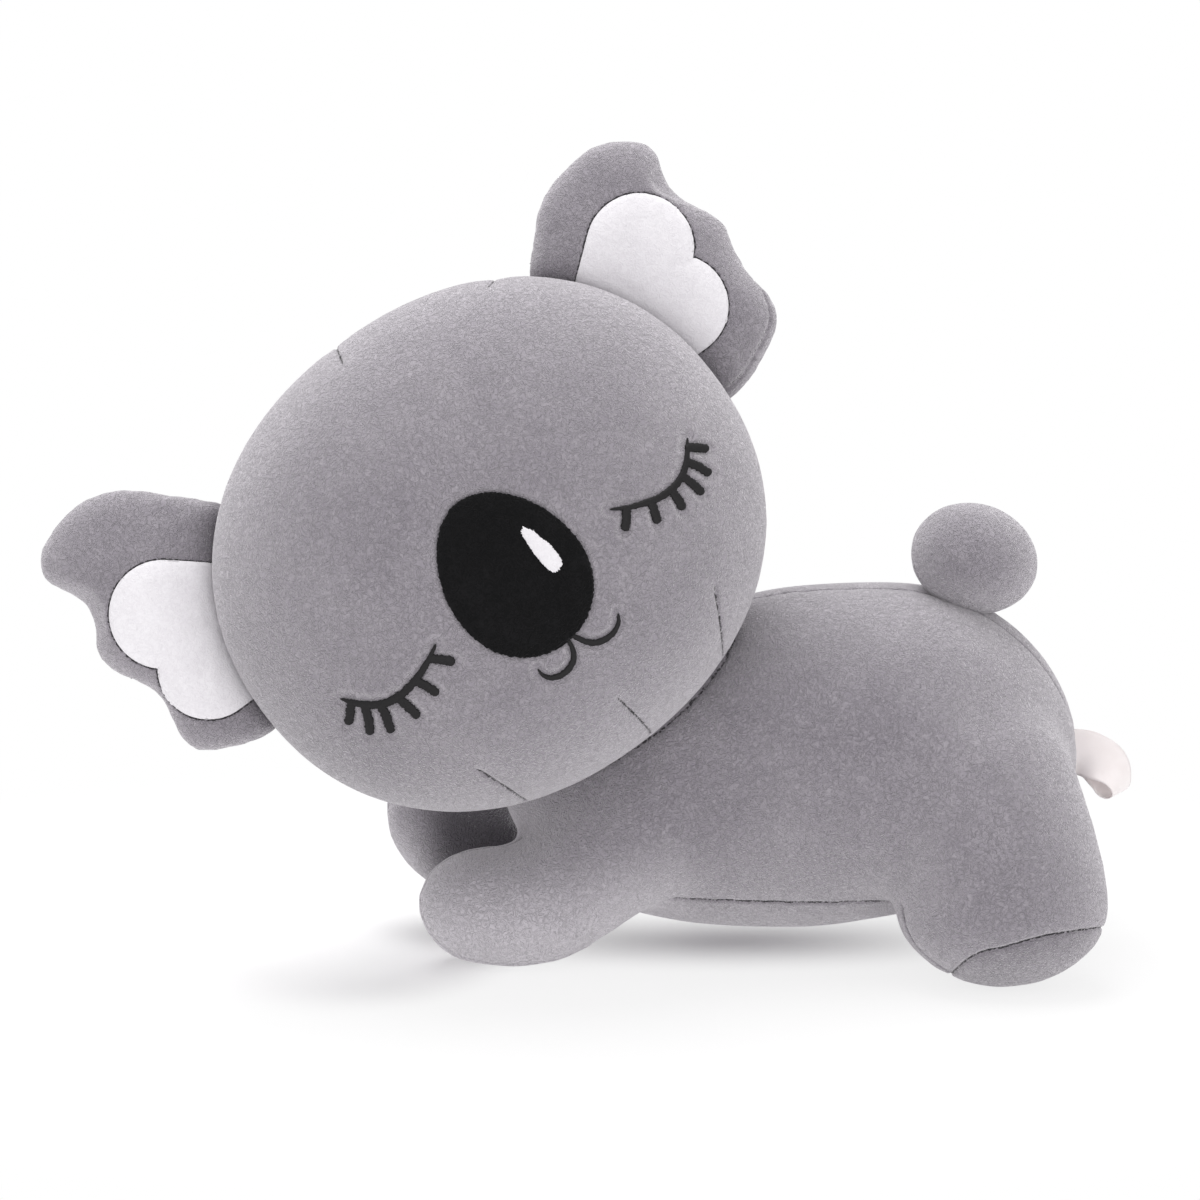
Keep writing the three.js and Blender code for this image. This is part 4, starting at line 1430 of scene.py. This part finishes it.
def velvet(name, colour, light, dark, tips, tips_share, sheen, relief, seams=False):
    """Short brushed pile: curls of fibre, patches brushed another way, and paler tips seen side on."""
    colour, light, dark, tips = (linear(*srgb) for srgb in (colour, light, dark, tips))
    finish = Finish(name)
    place = finish.object_place()
    curls = (1 - abs(finish.noise(place, CURL_SCALE, 1.0, 1.2) - 0.5) * CURL_SHARPNESS).kept()
    fibres = finish.noise(place, FIBRE_SCALE, 2.0, 0.6)
    brushed = finish.noise(place, BRUSHED_SCALE, 3.0, 0.6)
    patches = finish.noise(place, PATCH_SCALE, 2.0, 1.5)
    tone = (
        0.5 + (brushed - 0.5) * TONE["brushed"] + (patches - 0.5) * TONE["patches"]
        + (curls - 0.4) * TONE["curls"] + (fibres - 0.5) * TONE["fibres"]
    ).kept()
    shade = finish.node(
        "ValToRGB", {"stops": [(0.15, dark), (0.5, colour), (0.9, light)]}, {"Fac": tone}
    )
    if seams:
        line = seam_line(finish, place)
        shade = finish.mixed(line * 0.92, shade, darker(colour, 0.08))
        shade = finish.mixed((finish.attribute("halo") * 0.35).kept(), shade, light)
        # Light from the floor painted low on the paws
        shade = finish.mixed(finish.attribute("brushed_up"), shade, tips)
    # Painted shade: under the head, beside it, under the chin, on the soles and on the ears
    hollow = finish.attribute("hollow") * 0.85
    shade = finish.mixed(hollow, shade, darker(dark, 0.3))
    height = curls + fibres * RELIEF["fibres"] + patches * RELIEF["patches"]
    bump = add_bump(finish, height, 0.9, relief)
    side_on = finish.node("LayerWeight", {}, {"Blend": 0.5}, "Facing")
    upright = pile_shader(finish, shade, bump, 0.95, 0.15, sheen)
    lying = finish.mixed((curls * 0.6 + 0.4).kept(), darker(tips, 0.85), tips)
    brushed_over = pile_shader(finish, lying, bump, 1.0, 0.1, sheen)
    share = side_on.math("POWER", side_on, 1.2) * tips_share * (1 - hollow)
    if seams:
        share = share * (1 - line * 0.9)
    return finish.end(finish.node("MixShader", {}, {0: share, 1: upright, 2: brushed_over}))


def satin_thread():
    finish = Finish("dark_satin_thread")
    strands = finish.noise(finish.object_place(), FIBRE_SCALE, 2.0)
    shader = finish.node("BsdfPrincipled", {}, {
        "Base Color": finish.mixed(strands, linear(14, 13, 14), linear(36, 34, 36)),
        "Roughness": 0.6, "Normal": add_bump(finish, strands, 0.6, 0.0003),
        "Specular IOR Level": 0.25,
    }, "BSDF")
    return finish.end(shader)


def satin_tape():
    finish = Finish("white_satin_tape")
    place = finish.object_place()
    weave = finish.node(
        "TexWave", {"bands_direction": "Z", "wave_type": "BANDS"},
        {"Vector": place, "Scale": 900, "Distortion": 0.6, "Detail": 1.0}, "Fac",
    )
    cloud = finish.noise(place, 120, 2.0)
    shader = finish.node("BsdfPrincipled", {}, {
        "Base Color": finish.mixed(cloud, linear(244, 238, 238), linear(232, 223, 222)),
        "Roughness": 0.42, "Normal": add_bump(finish, weave, 0.25, 0.0001),
        "Specular IOR Level": 0.5, "Sheen Weight": 0.2,
    }, "BSDF")
    return finish.end(shader)


# Stage

def faded(finish, place, middle, squeeze, reach, least):
    """From a least share of white near a middle to all of it further out, round an ellipse."""
    moved = finish.node("Mapping", {}, {
        "Vector": place, "Location": (-middle[0] * squeeze[0], -middle[1] * squeeze[1], 0),
        "Scale": (*squeeze, 1),
    })
    away = finish.node("VectorMath", {"operation": "LENGTH"}, {0: moved}, "Value")
    return finish.node("MapRange", {"interpolation_type": "SMOOTHSTEP"}, {
        "Value": away, "From Min": reach[0], "From Max": reach[1], "To Min": least, "To Max": 1.0,
    })


def floor_material():
    """A pale floor that takes shadows near the cushion and fades to white away from it."""
    finish = Finish("pale_floor")
    place = finish.object_place()
    far = 1
    for fade in FLOOR_FADES:
        far = far * faded(finish, place, *fade)
    seen = 0
    for ray in ("Is Camera Ray", "Is Glossy Ray", "Is Transmission Ray"):
        seen = seen + finish.node("LightPath", {}, {}, ray)
    seen = seen.kept()
    cloth = finish.node("BsdfDiffuse", {}, {"Color": (0.97, 0.965, 0.97, 1)})
    glow = finish.node("Emission", {}, {"Color": (1, 1, 1, 1), "Strength": 1.0})
    bright = far * seen + (1 - seen) * BOUNCE
    return finish.end(finish.node("MixShader", {}, {0: bright, 1: cloth, 2: glow}))


def add_floor():
    shape = bmesh.new()
    bmesh.ops.create_grid(shape, x_segments=1, y_segments=1, size=FLOOR_HALF)
    floor = piece_of("floor", shape)
    floor.location.z = -FLOOR_BELOW
    floor.data.materials.append(floor_material())


def add_light(name, place, aim, size, power):
    """Adds a soft round light."""
    lamp = bpy.data.lights.new(name, "AREA")
    lamp.shape = "DISK"
    lamp.size = size
    lamp.energy = power
    light = bpy.data.objects.new(name, lamp)
    light.location = place
    light.rotation_euler = (Vector(aim) - Vector(place)).to_track_quat("-Z", "Y").to_euler()
    bpy.context.scene.collection.objects.link(light)


def add_world():
    """Even daylight on the cushion, and plain white where it is seen directly."""
    world = bpy.data.worlds.new("studio")
    world.use_nodes = True
    bpy.context.scene.world = world
    tree = world.node_tree
    tree.nodes.clear()
    path = tree.nodes.new("ShaderNodeLightPath")
    mix = tree.nodes.new("ShaderNodeMixShader")
    out = tree.nodes.new("ShaderNodeOutputWorld")
    for socket, strength in ((1, DAYLIGHT), (2, 1.0)):
        sky = tree.nodes.new("ShaderNodeBackground")
        sky.inputs["Color"].default_value = (1, 1, 1, 1)
        sky.inputs["Strength"].default_value = strength
        tree.links.new(sky.outputs[0], mix.inputs[socket])
    tree.links.new(path.outputs["Is Camera Ray"], mix.inputs[0])
    tree.links.new(mix.outputs[0], out.inputs[0])


def add_camera():
    elevation = math.radians(CAMERA_UP)
    away = Vector((0, -math.cos(elevation), math.sin(elevation))) * CAMERA_AWAY
    camera = bpy.data.objects.new("camera", bpy.data.cameras.new("camera"))
    camera.data.lens = CAMERA_LENS
    camera.data.sensor_width = 36
    camera.location = Vector(CAMERA_AIM) + away
    camera.rotation_euler = (math.pi / 2 - elevation, 0, 0)
    bpy.context.scene.collection.objects.link(camera)
    bpy.context.scene.camera = camera


# Assembly

def finish_piece(piece, material, nodes, body="cushion"):
    piece.data.materials.clear()
    piece.data.materials.append(material)
    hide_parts(*nodes)
    if body:
        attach(piece, body)


grey = velvet(
    "grey_velvet", (145, 140, 147), light=(167, 162, 168), dark=(121, 116, 124),
    tips=(222, 217, 223), tips_share=0.65, sheen=0.7, relief=0.0006, seams=True,
)
white = velvet(
    "white_velvet", (226, 223, 227), light=(238, 236, 239), dark=(212, 208, 213),
    tips=(240, 238, 241), tips_share=0.5, sheen=0.2, relief=0.00012,
)
black = velvet(
    "black_pile", (15, 15, 16), light=(30, 29, 31), dark=(7, 7, 8),
    tips=(46, 44, 46), tips_share=0.25, sheen=0.1, relief=0.0004,
)
thread = satin_thread()

head = make_head()
read_face = face_reader(head)
outside_head = off_head_by(head)
body = make_body(outside_head)
body_nodes = ["left_side_panel", "right_side_panel", "belly_panel", "body_filling"]
for limb in ("arm", "leg"):
    for limb_side in ("left", "right"):
        body_nodes += [
            f"{limb_side}_{limb}_{part}" for part in ("outer_panel", "inner_panel", "filling")
        ]
body_nodes += ["left_foot_sole", "right_foot_sole"]
finish_piece(body, grey, body_nodes)

sew_head(head)
press_face(head)
finish_piece(
    head, grey, ["head_face_panel", "head_back_panel", "head_filling"]
)
finish_piece(make_nose(read_face), black, ["nose_patch"])
finish_piece(make_glint(read_face), white, ["nose_glint"])
for eye_side, eye_name in ((1, "left"), (-1, "right")):
    finish_piece(
        make_eye(eye_side, eye_name, read_face), thread,
        [eye_name + "_eye_stitching"],
    )
finish_piece(make_mouth(read_face), thread, ["mouth_stitching"])

for ear_side, ear_name in ((1, "left"), (-1, "right")):
    ear, lining = make_ear(ear_side, ear_name, outside_head)
    finish_piece(
        ear, grey,
        [f"{ear_name}_ear_{part}" for part in ("front_panel", "back_panel", "filling")], "",
    )
    finish_piece(lining, white, [ear_name + "_ear_heart_lining"], "")
    frame_of_ear = ear_frame(ear_side)
    for part in (ear, lining):
        frame_of_ear @ Vector((0, 0, 0))
        frame_of_ear @ Vector((EAR_BEND, 0, 0))
        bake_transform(part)

finish_piece(make_tail(), grey, ["tail_cover", "tail_filling"], "tail")
label = make_label()
finish_piece(label, satin_tape(), ["care_label"], "")
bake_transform(label)

bpy.context.scene.view_settings.view_transform = "Standard"
add_floor()
add_world()
add_camera()
for light in LIGHTS:
    add_light(*light)
